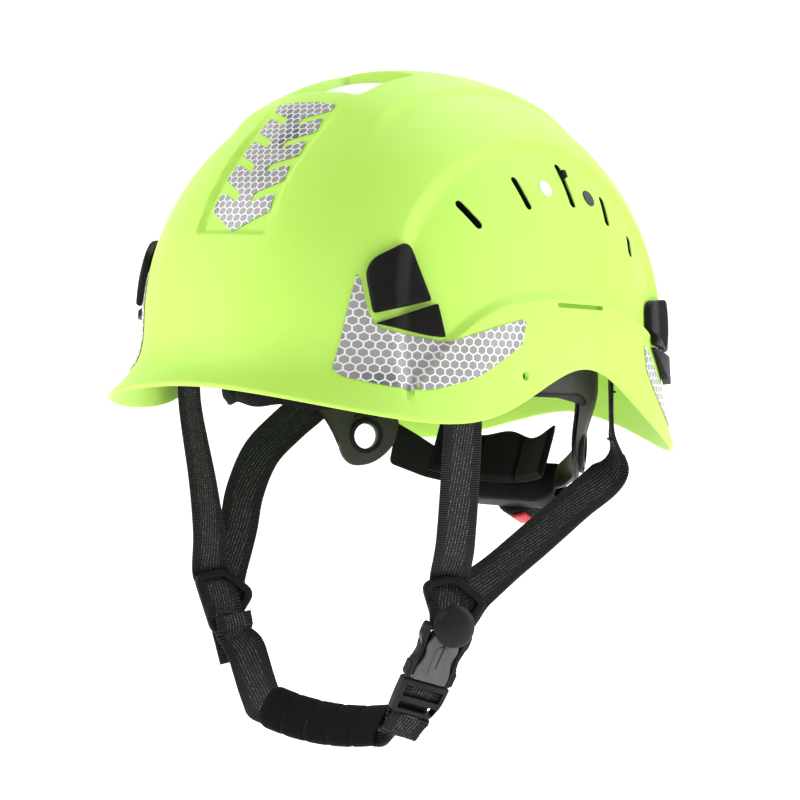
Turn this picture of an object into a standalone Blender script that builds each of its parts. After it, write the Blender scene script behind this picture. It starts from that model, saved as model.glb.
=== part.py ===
"""Arborist climbing helmet: vented shell, textile cradle, four-point chin strap.

Units are metres.  +Z is up, the brim looks along -Y and the wearer's left is +X.
The origin is the head's seat: the middle of the head ring, level with the brow.
Every piece is one closed solid and one named object.
"""

from math import asin, atan2, cos, degrees, exp, pi, radians, sin, sqrt

import bmesh
import bpy
from mathutils import Matrix, Vector

# ---------------------------------------------------------------- driving sizes
GAP = 0.0003                  # clearance between neighbours that touch

SHELL_HALF_WIDTH = 0.1054
SHELL_FRONT_LENGTH = 0.1461
SHELL_BACK_LENGTH = 0.1374
SHELL_EGG = 0.025             # how much wider the rear is than the front
SHELL_SQUARENESS = 2.324      # exponent of the plan outline
EQUATOR_Z = 0.0365            # the dome stands on a skirt here
DOME_HEIGHT = 0.1251
DOME_FULLNESS = 0.967
DOME_SHOULDER = 0.996
SHELL_WALL = 0.0028
SKIRT_START = 0.72            # share of the shell parameter taken by the dome

RIM_Z = -0.0099
RIM_BRIM_RISE = 0.0187
RIM_EAR_RISE = 0.0333
RIM_NAPE_RISE = 0.0132
BRIM_REACH = 0.0352

POD_DEPTH = 0.0022            # sunken side field that carries the vents
CREST_RAISE = 0.0022          # raised band over the crown
CREST_HALF_WIDTH = 0.044

WEBBING_WIDTH = 0.019
WEBBING_THICKNESS = 0.0016

RING_HALF_WIDTH = 0.080       # head ring, inner harness
RING_HALF_LENGTH = 0.098

VENT_WIDTH = 0.0044
ACCESSORY_SLOT = 0.0026       # slit over the ear for a clip-on ear defender
# vents on the left side: upper end and lower end as (azimuth in degrees, height)
VENTS = {
    "first": ((49.5, 0.0963), (54.5, 0.0874)),
    "second": ((70.5, 0.1104), (73.5, 0.0987)),
    "lever": ((97.5, 0.1197), (95.8, 0.1021)),
    "fourth": ((115.2, 0.1058), (112.0, 0.0949)),
    "fifth": ((123.0, 0.0874), (121.0, 0.0808)),
}
SHUTTER_SLIDE = Vector((0.44, 0.0, -0.898)).normalized()

GREEN = (0.56, 0.85, 0.12)
BLACK = (0.012, 0.012, 0.012)
CHARCOAL = (0.045, 0.045, 0.045)
FILM = (0.42, 0.43, 0.44)
RED = (0.42, 0.01, 0.01)
WHITE = (0.85, 0.85, 0.85)


# ---------------------------------------------------------------- scene helpers
def clear_scene():
    for thing in list(bpy.data.objects):
        bpy.data.objects.remove(thing, do_unlink=True)


def material(name, colour, roughness, metallic=0.0):
    found = bpy.data.materials.get(name)
    if found:
        return found
    made = bpy.data.materials.new(name)
    made.use_nodes = True
    shader = made.node_tree.nodes["Principled BSDF"]
    shader.inputs["Base Color"].default_value = (*colour, 1.0)
    shader.inputs["Roughness"].default_value = roughness
    shader.inputs["Metallic"].default_value = metallic
    made.diffuse_color = (*colour, 1.0)
    return made


def empty(name, location):
    made = bpy.data.objects.new(name, None)
    made.location = location
    bpy.context.collection.objects.link(made)
    bpy.context.view_layer.update()
    return made


def piece(name, verts, faces, look, smooth=35.0, parent=None):
    """A mesh object from world-space points, its faces turned outwards."""
    mesh = bpy.data.meshes.new(name)
    mesh.from_pydata([tuple(v) for v in verts], [], faces)
    solid = bmesh.new()
    solid.from_mesh(mesh)
    bmesh.ops.recalc_face_normals(solid, faces=solid.faces)
    if solid.calc_volume(signed=True) < 0:
        bmesh.ops.reverse_faces(solid, faces=solid.faces)
    solid.to_mesh(mesh)
    solid.free()
    mesh.materials.append(look)
    mesh.shade_smooth()
    mesh.set_sharp_from_angle(angle=radians(smooth))
    made = bpy.data.objects.new(name, mesh)
    bpy.context.collection.objects.link(made)
    if parent is not None:
        made.parent = parent
        made.matrix_parent_inverse = parent.matrix_world.inverted()
    return made


def cut(target, cutters, operation="DIFFERENCE"):
    """Boolean modifiers applied one after another; the cutters are removed."""
    for cutter in cutters:
        change = target.modifiers.new("cut", "BOOLEAN")
        change.operation = operation
        change.solver = "EXACT"
        change.object = cutter
        bpy.context.view_layer.update()
        depsgraph = bpy.context.evaluated_depsgraph_get()
        mesh = bpy.data.meshes.new_from_object(target.evaluated_get(depsgraph))
        target.modifiers.clear()
        target.data = mesh
        bpy.data.objects.remove(cutter, do_unlink=True)


# ---------------------------------------------------------------- plain solids
def box_faces():
    return [(0, 1, 3, 2), (4, 6, 7, 5), (0, 4, 5, 1), (2, 3, 7, 6), (0, 2, 6, 4), (1, 5, 7, 3)]


def box(name, low, high, frame, look, parent=None):
    corners = [(x, y, z) for x in (low[0], high[0]) for y in (low[1], high[1]) for z in (low[2], high[2])]
    return piece(name, [frame @ Vector(c) for c in corners], box_faces(), look, parent=parent)


def prism(name, outline, low, high, frame, look, smooth=35.0, parent=None):
    """A flat outline (x, y) in a frame, extruded along the frame's z."""
    count = len(outline)
    verts = [frame @ Vector((x, y, low)) for x, y in outline]
    verts += [frame @ Vector((x, y, high)) for x, y in outline]
    sides = [(i, (i + 1) % count, count + (i + 1) % count, count + i) for i in range(count)]
    faces = [tuple(range(count))[::-1], tuple(range(count, 2 * count))] + sides
    return piece(name, verts, faces, look, smooth, parent)


def hoop(name, outer, inner, low, high, frame, look, parent=None):
    """A flat ring between two outlines with the same number of points."""
    count = len(outer)
    verts = []
    for level in (low, high):
        verts += [frame @ Vector((x, y, level)) for x, y in outer]
        verts += [frame @ Vector((x, y, level)) for x, y in inner]
    faces = []
    for i in range(count):
        j = (i + 1) % count
        faces.append((i, j, count + j, count + i))
        faces.append((2 * count + i, 3 * count + i, 3 * count + j, 2 * count + j))
        faces.append((i, 2 * count + i, 2 * count + j, j))
        faces.append((count + i, count + j, 3 * count + j, 3 * count + i))
    return piece(name, verts, faces, look, parent=parent)


def turned(name, profile, count, frame, look, parent=None):
    """A profile of (radius, height) turned about the frame's z; its ends lie on the axis."""
    verts = [frame @ Vector((0, 0, profile[0][1])), frame @ Vector((0, 0, profile[-1][1]))]
    for radius, height in profile[1:-1]:
        verts += [frame @ Vector((x, y, height)) for x, y in circle(radius, count)]
    faces = []
    last = 2 + (len(profile) - 3) * count
    for i in range(count):
        k = (i + 1) % count
        faces.append((0, 2 + k, 2 + i))
        faces.append((1, last + i, last + k))
        for j in range(len(profile) - 3):
            a, b = 2 + j * count, 2 + (j + 1) * count
            faces.append((a + i, a + k, b + k, b + i))
    return piece(name, verts, faces, look, 40, parent)


def circle(radius, count, centre=(0.0, 0.0), phase=0.0):
    turns = [2 * pi * (i + phase) / count for i in range(count)]
    return [(centre[0] + radius * cos(t), centre[1] + radius * sin(t)) for t in turns]


def inset(corners, distance):
    """Move each edge of a convex anticlockwise outline inwards."""
    moved = []
    count = len(corners)
    for i in range(count):
        before, here, after = (Vector(corners[(i + k) % count]) for k in (-1, 0, 1))
        one = (here - before).normalized()
        two = (after - here).normalized()
        half = (Vector((-one.y, one.x)) + Vector((-two.y, two.x))).normalized()
        turn = max(0.3, half.dot(Vector((-one.y, one.x))))
        moved.append(tuple(here + half * distance / turn))
    return moved


def rounded(corners, radius, steps=3):
    """A convex outline with its corners turned into short arcs."""
    points = []
    count = len(corners)
    for i in range(count):
        before, here, after = (Vector(corners[(i + k) % count]) for k in (-1, 0, 1))
        start = here + (before - here).normalized() * radius
        end = here + (after - here).normalized() * radius
        for k in range(steps + 1):
            t = k / steps
            points.append(tuple(start * (1 - t) ** 2 + here * 2 * t * (1 - t) + end * t ** 2))
    return points


def capsule(name, start, end, half_width, depth, normal):
    """A slot cutter: round-ended, from start to end, reaching depth both ways along normal."""
    along = (end - start).normalized()
    across = normal.cross(along).normalized()
    frame = Matrix.Translation(start) @ Matrix((along, across, normal)).transposed().to_4x4()
    reach = (end - start).length
    arc = [radians(90 + 180 * i / 5) for i in range(6)]
    outline = [(half_width * cos(a), half_width * sin(a)) for a in arc]
    outline += [(reach - half_width * cos(a), -half_width * sin(a)) for a in arc]
    made = prism(name, outline, -depth, depth, frame, material("cutter", WHITE, 0.5))
    made.hide_render = True
    made.display_type = "WIRE"
    return made


# ---------------------------------------------------------------- the shell's surface
def ease(x):
    x = min(1.0, max(0.0, x))
    return x * x * (3 - 2 * x)


def rim_height(turn):
    away = abs(degrees(turn))
    brim = RIM_BRIM_RISE * ease(1 - away / 62)
    ear = RIM_EAR_RISE * exp(-((away - 91.5) / 29.3) ** 2)
    nape = RIM_NAPE_RISE * ease((away - 140) / 40) - 0.007 * exp(-((away - 150) / 21.9) ** 2)
    return RIM_Z + brim + ear + nape


def plan_radius(turn):
    length = SHELL_FRONT_LENGTH if cos(turn) > 0 else SHELL_BACK_LENGTH
    width = SHELL_HALF_WIDTH * (1 - SHELL_EGG * cos(turn))
    across = (abs(sin(turn)) / width) ** SHELL_SQUARENESS
    along = (abs(cos(turn)) / length) ** SHELL_SQUARENESS
    return (across + along) ** (-1 / SHELL_SQUARENESS)


def relief(point):
    """How far the moulded features stand out of the plain dome at a point."""
    x, y, z = point
    stretch = 0.110 if y < 0 else 0.085
    away = sqrt((y / stretch) ** 2 + (max(0.0, z - 0.050) / 0.080) ** 2)
    side = ease((abs(x) - 0.040) / 0.02)
    pod = -POD_DEPTH * ease((1 - away) / 0.085) * side * ease((z - 0.042) / 0.020)
    crest = ease((CREST_HALF_WIDTH - abs(x)) / 0.008) * ease((z - 0.112) / 0.02)
    crest *= CREST_RAISE * ease((y + 0.098) / 0.012)
    return pod + crest


def shell_point(turn, share):
    """A point on the plain shell: share 0 is the crown, 1 is the rim."""
    if share < SKIRT_START:
        slope = share / SKIRT_START * pi / 2
        rho = sin(slope) ** DOME_FULLNESS
        z = EQUATOR_Z + DOME_HEIGHT * cos(slope) ** DOME_SHOULDER
    else:
        rho = 1.0
        z = EQUATOR_Z + (rim_height(turn) - EQUATOR_Z) * (share - SKIRT_START) / (1 - SKIRT_START)
    depth = min(1.6, max(0.0, (EQUATOR_Z - z) / 0.040))
    away = abs(degrees(turn))
    flare = 0.017 + 0.0287 * ease((away - 100) / 40)
    radius = plan_radius(turn) * rho * (1 + flare * depth ** 2)
    radius += BRIM_REACH * ease(1 - away / 60.5) * depth ** 3
    return Vector((radius * sin(turn), -radius * cos(turn), z))


def shell_normal(turn, share):
    step = 0.004
    low, high = max(0.004, share - step), min(1.0, share + step)
    down = shell_point(turn, high) - shell_point(turn, low)
    round_ = shell_point(turn + step, share) - shell_point(turn - step, share)
    normal = round_.cross(-down).normalized()
    outward = shell_point(turn, share) - Vector((0, 0, 0.03))
    return normal if normal.dot(outward) > 0 else -normal


def shell_at(turn, share, lift=0.0):
    base = shell_point(turn, share)
    return base + shell_normal(turn, share) * (relief(base) + lift)


def share_at_height(turn, z):
    if z < EQUATOR_Z:
        low = rim_height(turn)
        return SKIRT_START + (1 - SKIRT_START) * (EQUATOR_Z - z) / (EQUATOR_Z - low)
    rise = min(1.0, (z - EQUATOR_Z) / DOME_HEIGHT) ** (1 / DOME_SHOULDER)
    return SKIRT_START * 2 / pi * (pi / 2 - asin(rise))


def on_side(angle, z, lift=0.0):
    """A point on the shell at an azimuth in degrees and a height."""
    turn = radians(angle)
    return shell_at(turn, share_at_height(turn, z), lift)


def on_crown(x, y, lift=0.0):
    turn = atan2(x, -y)
    rho = min(1.0, Vector((x, y)).length / plan_radius(turn))
    slope = asin(rho ** (1 / DOME_FULLNESS))
    return shell_at(turn, slope * SKIRT_START * 2 / pi, lift)


def side_normal(angle, z):
    turn = radians(angle)
    return shell_normal(turn, share_at_height(turn, z))


def flip(point, side):
    return Vector((point[0] * side, point[1], point[2]))


def slab(name, near, far, count_u, count_v, look, parent=None, smooth=40.0):
    """A closed slab between two grids of points, near(u, v) and far(u, v)."""
    columns, rows = count_u + 1, count_v + 1
    verts = []
    for skin in (near, far):
        verts += [skin(i / count_u, j / count_v) for i in range(columns) for j in range(rows)]
    size = columns * rows
    at = [[i * rows + j for j in range(rows)] for i in range(columns)]
    faces = []
    for i in range(count_u):
        for j in range(count_v):
            quad = (at[i][j], at[i + 1][j], at[i + 1][j + 1], at[i][j + 1])
            faces.append(quad)
            faces.append(tuple(size + k for k in reversed(quad)))
    edge = [at[i][0] for i in range(columns)] + [at[count_u][j] for j in range(1, rows)]
    edge += [at[i][rows - 1] for i in range(count_u - 1, -1, -1)]
    edge += [at[0][j] for j in range(rows - 2, 0, -1)]
    for k in range(len(edge)):
        a, b = edge[k], edge[(k + 1) % len(edge)]
        faces.append((a, size + a, size + b, b))
    return piece(name, verts, faces, look, smooth, parent)


# ---------------------------------------------------------------- looks
def looks():
    return {
        "green": material("shell_green", GREEN, 0.45),
        "black": material("black_plastic", BLACK, 0.42),
        "charcoal": material("harness_plastic", CHARCOAL, 0.5),
        "film": material("reflective_film", FILM, 0.35),
        "webbing": material("webbing", (0.03, 0.03, 0.032), 0.8),
        "fabric": material("pad_fabric", (0.01, 0.01, 0.01), 0.9),
        "red": material("dial_red", RED, 0.4),
        "white": material("white_plastic", WHITE, 0.5),
    }


# ---------------------------------------------------------------- shell and its trim
def outer_shell(look):
    around, down = 60, 15
    verts = []
    for lift in (0.0, -SHELL_WALL):
        crown = shell_at(0.001, 0.004)
        verts.append(Vector((0, 0, crown.z + lift)))
        for j in range(1, down + 1):
            share = j / down
            for i in range(around):
                verts.append(shell_at(2 * pi * i / around - pi, share, lift))
    skin = 1 + around * down
    faces = []
    for base in (0, skin):
        for i in range(around):
            k = (i + 1) % around
            faces.append((base, base + 1 + i, base + 1 + k))
            for j in range(down - 1):
                a, b = base + 1 + j * around, base + 1 + (j + 1) * around
                faces.append((a + i, b + i, b + k, a + k))
    last = 1 + (down - 1) * around
    for i in range(around):
        k = (i + 1) % around
        faces.append((last + i, last + k, skin + last + k, skin + last + i))
    made = piece("outer_shell", verts, faces, look, 60)
    cutters = []
    for side in (1, -1):
        for top, bottom in VENTS.values():
            start, end = flip(on_side(*top), side), flip(on_side(*bottom), side)
            normal = flip(side_normal((top[0] + bottom[0]) / 2, (top[1] + bottom[1]) / 2), side)
            cutters.append(capsule("vent_cutter", start, end, VENT_WIDTH / 2, 0.009, normal))
        hole = flip(on_side(67.2, 0.0176), side)
        normal = flip(side_normal(67.2, 0.0176), side)
        frame = Matrix.Translation(hole) @ normal.to_track_quat("Z", "Y").to_matrix().to_4x4()
        cutters.append(prism("hole_cutter", circle(0.002, 8), -0.008, 0.008, frame, look))
        ends = [flip(on_side(angle, 0.0513), side) for angle in (79.0, 96.5)]
        normal = flip(side_normal(88.0, 0.0513), side)
        cutters.append(capsule("accessory_cutter", ends[0], ends[1], ACCESSORY_SLOT / 2, 0.009, normal))
    cut(made, cutters)
    return made


def lamp_clip(name, corners, low_corners, side, look):
    """A sprung flap over a lamp strap, and the ramp under it.  Corners run anticlockwise."""
    def place(quad, u, v, lift):
        top = [a + (b - a) * u for a, b in zip(quad[0], quad[1])]
        bottom = [a + (b - a) * u for a, b in zip(quad[2], quad[3])]
        angle, z = (t + (b - t) * v for t, b in zip(top, bottom))
        return flip(on_side(angle, z, lift), side)

    def flap_top(u, v):
        crown = ease(u / 0.2) * ease((1 - u) / 0.2) * ease((v + 0.02) / 0.3)
        return place(corners, u, v, 0.0014 + 0.0056 * crown)

    def ramp_top(u, v):
        return place(low_corners, u, v, 0.0014 + 0.0050 * (1 - v) * ease(u / 0.15))

    pivot = (place(corners, 0, 0, 0.001) + place(corners, 1, 0, 0.001)) / 2
    flap = slab(name + "_flap", flap_top, lambda u, v: place(corners, u, v, 0.0010), 5, 5, look,
                empty(name + "_pivot", pivot))
    slab(name + "_base", ramp_top, lambda u, v: place(low_corners, u, v, 0.0008), 4, 3, look)
    return flap


FRONT_CLIP = ((28.6, 0.0700), (38.0, 0.0755), (30.8, 0.0435), (41.8, 0.0510))
FRONT_CLIP_RAMP = ((31.2, 0.0405), (42.4, 0.0470), (31.6, 0.0370), (44.6, 0.0345))
REAR_CLIP = ((126.0, 0.0560), (138.0, 0.0540), (124.0, 0.0370), (138.0, 0.0340))
REAR_CLIP_RAMP = ((124.5, 0.0335), (138.5, 0.0305), (129.0, 0.0230), (139.5, 0.0170))


def lamp_clips(side, word, look):
    lamp_clip("clip_front_" + word, FRONT_CLIP, FRONT_CLIP_RAMP, side, look)
    lamp_clip("clip_rear_" + word, REAR_CLIP, REAR_CLIP_RAMP, side, look)


def reflectors(side, word, look):
    """Side and rear films that lie on the lower flange."""
    def side_low(angle):
        return 0.0140 - 0.0040 * sin(pi * (angle - 24.5) / 22) if angle < 46 else 0.0135 + (angle - 46) * 0.00090

    def side_top(angle):
        return 0.0330 if angle < 46 else 0.0330 + (angle - 46) * 0.00045

    def film(u, v, lift):
        angle = 25.0 + 41.0 * u
        z = side_low(angle) + (side_top(angle) - side_low(angle)) * v
        return flip(on_side(angle, z, lift), side)

    slab("side_reflector_" + word, lambda u, v: film(u, v, 0.0013), lambda u, v: film(u, v, 0.0007),
         12, 3, look)

    def rear(u, v, lift):
        angle = 121.0 + 18.0 * u
        z = 0.0120 - 0.0180 * u + (0.0030 + 0.0080 * (1 - u)) * v
        return flip(on_side(angle, z, lift), side)

    slab("rear_reflector_" + word, lambda u, v: rear(u, v, 0.0013), lambda u, v: rear(u, v, 0.0007),
         6, 2, look)


def front_reflector(look):
    def film(u, v, lift):
        z = 0.0790 + 0.0600 * v
        spread = 0.0060 + 0.0110 * min(1.0, 4 * v)
        turn = asin((2 * u - 1) * spread / plan_radius(0))
        return shell_at(turn, share_at_height(turn, z), lift)

    slab("front_reflector", lambda u, v: film(u, v, 0.0013), lambda u, v: film(u, v, 0.0007), 4, 8, look)


def top_plate(look):
    def plate(u, v, lift):
        return on_crown(-0.014 + 0.028 * u, -0.064 + 0.024 * v, lift)

    slab("top_plate", lambda u, v: plate(u, v, 0.0014), lambda u, v: plate(u, v, 0.0007), 3, 3, look)


def vent_parts(side, word, look):
    """Sliding shutter behind the vents, its lever, and two round markers."""
    def shutter(u, v, lift):
        angle = 66.0 + 50.0 * u
        return flip(on_side(angle, 0.1235 - 0.0105 * v, lift), side)

    inner, outer = -SHELL_WALL - 0.0034, -SHELL_WALL - 0.0020
    runner = empty("shutter_runner_" + word, flip(on_side(97.0, 0.115, inner), side))
    slab("vent_shutter_" + word, lambda u, v: shutter(u, v, outer), lambda u, v: shutter(u, v, inner),
         8, 2, look["black"], runner)
    top = flip(on_side(97.1, 0.1165), side)
    along = flip(SHUTTER_SLIDE, side)
    normal = flip(side_normal(97.0, 0.114), side)
    normal = (normal - along * normal.dot(along)).normalized()
    across = normal.cross(along)
    frame = Matrix.Translation(top) @ Matrix((along, across, normal)).transposed().to_4x4()
    box("vent_lever_" + word, (-0.0014, -0.0016, -0.0042), (0.0026, 0.0016, 0.0026), frame,
        look["black"], runner)
    for tag, angle, z, finish in (("open", 84.2, 0.1081, "white"), ("shut", 106.6, 0.1058, "charcoal")):
        spot = flip(on_side(angle, z), side)
        normal = flip(side_normal(angle, z), side)
        frame = Matrix.Translation(spot) @ normal.to_track_quat("Z", "Y").to_matrix().to_4x4()
        prism(f"vent_marker_{tag}_{word}", circle(0.0040, 12), 0.0007, 0.0015, frame, look[finish])


# ---------------------------------------------------------------- cradle inside the shell
def ring_point(turn, z, out=0.0):
    """A point on the head ring: turn in degrees from the front, z up, out from the head."""
    angle = radians(turn)
    swell = 0.008 * ease((z + 0.016) / 0.030)
    half = Vector((RING_HALF_WIDTH + swell, RING_HALF_LENGTH - 0.010 * ease((-z - 0.004) / 0.04), 0))
    normal = Vector((sin(angle) / half.x, -cos(angle) / half.y, 0)).normalized()
    return Vector((half.x * sin(angle), -half.y * cos(angle), z)) + normal * out


def ring_slab(name, start, stop, low, high, look, thickness=0.0022, count=8, out=0.0, side=1):
    def skin(u, v, lift):
        turn = start + (stop - start) * u
        bottom, top = low(turn), high(turn)
        return flip(ring_point(turn, bottom + (top - bottom) * v, lift), side)

    return slab(name, lambda u, v: skin(u, v, out + thickness), lambda u, v: skin(u, v, out), count, 3, look)


def brow(look):
    ring_slab("brow_band", -62, 62, lambda t: 0.010, lambda t: 0.034, look["charcoal"], count=16)
    ring_slab("brow_pad", -52, 52, lambda t: -0.002, lambda t: 0.036, look["fabric"], 0.0055, 14, -0.0062)


def harness_side(side, word, look):
    """Ear panel whose arm drops to the nape, with a round hole through the arm's lobe."""
    def low(turn):
        return 0.0080 - 0.0380 * ease((turn - 105) / 17)

    def high(turn):
        return 0.0460 - 0.0520 * ease((turn - 106) / 26)

    panel = ring_slab("harness_panel_" + word, 66, 136, low, high, look["charcoal"], count=16, side=side)
    hole = flip(ring_point(124, -0.0165), side)
    normal = flip(Vector((0.83, 0.56, 0)), side)
    frame = Matrix.Translation(hole) @ normal.to_track_quat("Z", "Y").to_matrix().to_4x4()
    cut(panel, [prism("arm_hole_cutter", circle(0.0064, 12), -0.01, 0.01, frame, look["charcoal"])])
    ring_slab("nape_band_" + word, 137, 147, lambda t: -0.031 - 0.0004 * (t - 136),
              lambda t: -0.009 - 0.0008 * (t - 136), look["charcoal"], count=4, side=side)


def anchors(side, word, look):
    """Blocks that hold the straps and the crown webbing inside the shell."""
    for place, angle, z in (("front", 50.0, 0.030), ("rear", 124.0, 0.030)):
        spot = flip(on_side(angle, z, -SHELL_WALL), side)
        normal = flip(side_normal(angle, z), side)
        frame = Matrix.Translation(spot) @ normal.to_track_quat("Z", "Y").to_matrix().to_4x4()
        low, high = (-0.010, -0.009, -0.0085), (0.010, 0.009, -0.0030)
        box(f"anchor_{place}_{word}", low, high, frame, look["black"])


def crown_straps(look):
    """Two webbing strips that cross over the head, and the pad where they meet."""
    for name, direction, top in (("crown_strap_a", 1, 0.1380), ("crown_strap_b", -1, 0.1410)):
        def strip(u, v, lift):
            reach = (2 * u - 1)
            across = Vector((0.75 * direction, 0.66, 0)).normalized() * (v - 0.5) * 0.018
            rise = top - (top - 0.058) * abs(reach) ** 2.4
            line = Vector((0.066 * reach * direction, -0.066 * reach, 0))
            return Vector((line.x + across.x, line.y + across.y, rise + lift))

        slab(name, lambda u, v: strip(u, v, 0.0012), lambda u, v: strip(u, v, 0.0), 16, 1, look["webbing"])
    frame = Matrix.Translation((0, 0, 0.1285))
    prism("crown_pad", circle(0.026, 16), -0.0030, 0.0030, frame, look["fabric"])


# ---------------------------------------------------------------- nape adjuster
NAPE_UP = Vector((0.0, 0.35, 0.937)).normalized()
NAPE_BACK = Vector((0.0, 0.937, -0.35)).normalized()
NAPE_FRAME = (Matrix.Translation((0.0, 0.091, -0.028))
              @ Matrix((Vector((1, 0, 0)), NAPE_UP, -NAPE_BACK)).transposed().to_4x4())
DIAL_UP = -0.0080             # dial axis below the nape frame's origin
PINION_RADIUS = 0.0026
DIAL_RADIUS = 0.0148


def in_nape(x, up, back):
    return NAPE_FRAME @ Vector((x, up, -back))


def nape_housing(look):
    low, high = (-0.031, -0.0195, -0.0090), (0.031, 0.0020, 0.0030)
    made = box("nape_housing", low, high, NAPE_FRAME, look["black"])
    cutters = [box("channel_cutter", (-0.05, -0.0142, -0.0060), (0.05, -0.0018, 0.0), NAPE_FRAME, look["black"])]
    shaft = NAPE_FRAME @ Matrix.Translation((0, DIAL_UP, 0))
    cutters.append(prism("shaft_cutter", circle(0.0024, 12), -0.02, -0.003, shaft, look["black"]))
    cut(made, cutters)


def nape_moving(look):
    pivot = empty("dial_pivot", in_nape(0, DIAL_UP, 0.0145))
    frame = NAPE_FRAME @ Matrix.Translation((0, DIAL_UP, 0))
    ribs = [DIAL_RADIUS - 0.0009 * (i % 2) for i in range(36)]
    outline = [(r * cos(2 * pi * i / 36), r * sin(2 * pi * i / 36)) for i, r in enumerate(ribs)]
    prism("nape_dial", outline, -0.0205, -0.0095, frame, look["black"], 30, pivot)
    for i in range(4):
        middle = radians(-75 - 90 * i)
        arc = [middle + radians(a) for a in (-14, -5, 5, 14)]
        out = [((DIAL_RADIUS + 0.0013) * cos(a), (DIAL_RADIUS + 0.0013) * sin(a)) for a in arc]
        back = [((DIAL_RADIUS + GAP) * cos(a), (DIAL_RADIUS + GAP) * sin(a)) for a in reversed(arc)]
        prism(f"dial_grip_{i + 1}", out + back, -0.0195, -0.0105, frame, look["red"], 30, pivot)
    prism("dial_pinion", circle(PINION_RADIUS - 0.0004, 12), -0.0092, -0.0004, frame, look["black"], 30, pivot)
    for word, side in (("left", 1), ("right", -1)):
        runner = empty("rack_runner_" + word, in_nape(0.03 * side, DIAL_UP, 0.003))
        inner, outer = sorted((-0.014 * side, 0.040 * side))
        lane = sorted((DIAL_UP + side * 0.0029, DIAL_UP + side * 0.0057))
        box("nape_rack_" + word, (inner, lane[0], -0.0056), (outer, lane[1], -0.0004), NAPE_FRAME,
            look["charcoal"], runner)


def nape_pad(look):
    def skin(u, v, lift):
        x = -0.036 + 0.072 * u
        curve = 0.0050 - 10.0 * x * x
        return in_nape(x, -0.0125 + 0.0275 * v, curve - 0.0095 + lift)

    slab("nape_pad", lambda u, v: skin(u, v, 0.0), lambda u, v: skin(u, v, -0.0070), 8, 3, look["fabric"])


# ---------------------------------------------------------------- straps and buckles
def ribbon(name, points, across, look, width=WEBBING_WIDTH, thickness=WEBBING_THICKNESS, parent=None):
    """Webbing along points; across gives the width direction at each point."""
    verts, faces = [], []
    count = len(points)
    spots = [Vector(p) for p in points]
    for i, spot in enumerate(spots):
        ahead = spots[min(i + 1, count - 1)] - spots[max(i - 1, 0)]
        wide = Vector(across[i])
        wide = (wide - ahead * wide.dot(ahead) / ahead.length_squared).normalized()
        face = ahead.cross(wide).normalized() * thickness / 2
        for a, b in ((-1, -1), (1, -1), (1, 1), (-1, 1)):
            verts.append(spot + wide * a * width / 2 + face * b)
    for i in range(count - 1):
        for k in range(4):
            a, b = 4 * i + k, 4 * i + (k + 1) % 4
            faces += [(a, b, b + 4), (a, b + 4, a + 4)]
    faces += [(3, 2, 1, 0), tuple(4 * (count - 1) + k for k in range(4))]
    return piece(name, verts, faces, look, 30, parent)


def side_straps(look):
    ribbon("strap_front_left",
           [(0.0845, -0.0700, 0.0180), (0.0850, -0.0670, -0.002), (0.0810, -0.0620, -0.035), (0.0755, -0.0570, -0.0735)],
           [(0.35, 0.93, 0), (0.42, 0.90, 0), (0.50, 0.86, 0), (0.55, 0.83, 0)], look)
    ribbon("strap_rear_left",
           [(0.0860, 0.0500, 0.0180), (0.0868, 0.0520, -0.008), (0.0872, 0.0560, -0.019), (0.0850, 0.0480, -0.032),
            (0.0815, 0.0280, -0.045), (0.0780, -0.0010, -0.0625), (0.0750, -0.0265, -0.0785)],
           [(0.61, -0.79, 0), (0.61, -0.79, 0), (0.72, -0.45, -0.30), (0.65, 0.10, -0.65), (0.55, 0.45, -0.70),
            (0.55, 0.45, -0.70), (0.55, 0.50, -0.65)], look)
    ribbon("strap_front_right",
           [(-0.0850, -0.0640, 0.0180), (-0.0860, -0.0620, -0.003), (-0.0810, -0.0560, -0.040), (-0.0755, -0.0530, -0.0790)],
           [(-0.15, 1, 0), (-0.10, 1, 0), (0.03, 1, 0), (0.25, 0.96, 0)], look)
    ribbon("strap_rear_right",
           [(-0.0870, 0.0440, 0.0070), (-0.0865, 0.0320, -0.002), (-0.0862, 0.0130, -0.013), (-0.0835, -0.0110, -0.029),
            (-0.0790, -0.0260, -0.050), (-0.0755, -0.0330, -0.0770)],
           [(0.6, 0.5, -0.62), (0.6, 0.5, -0.62), (0.62, 0.52, -0.58), (0.70, 0.58, -0.42), (0.6, 0.78, -0.15), (0.4, 0.9, 0)], look)


def plate_frame(origin, wide, down):
    """Axes of a flat buckle: x across it, y down the strap, z out of its face."""
    wide = Vector(wide).normalized()
    down = Vector(down)
    down = (down - wide * down.dot(wide)).normalized()
    return Matrix.Translation(origin) @ Matrix((wide, down, wide.cross(down))).transposed().to_4x4()


LEFT_DIVIDER = plate_frame((0.0705, -0.0490, -0.0920), (0.56, 0.83, 0.0), (0, 0, -1))
RIGHT_DIVIDER = plate_frame((-0.0710, -0.0480, -0.0985), (0.41, 0.91, 0.0), (0.1, 0, -1))
DIVIDER_CORNERS = [(-0.0165, -0.0120), (0.0, -0.0165), (0.0175, -0.0040), (0.0035, 0.0170), (-0.0060, 0.0170)]
BUCKLE = plate_frame((0.0720, -0.0578, -0.1075), (0.45, 0.87, -0.24), (-0.40, -0.04, -0.915))
BUCKLE_SLIDE = (BUCKLE.to_3x3() @ Vector((0, 1, 0))).normalized()
BUCKLE_FACE = (BUCKLE.to_3x3() @ Vector((0, 0, 1))).normalized()


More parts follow.
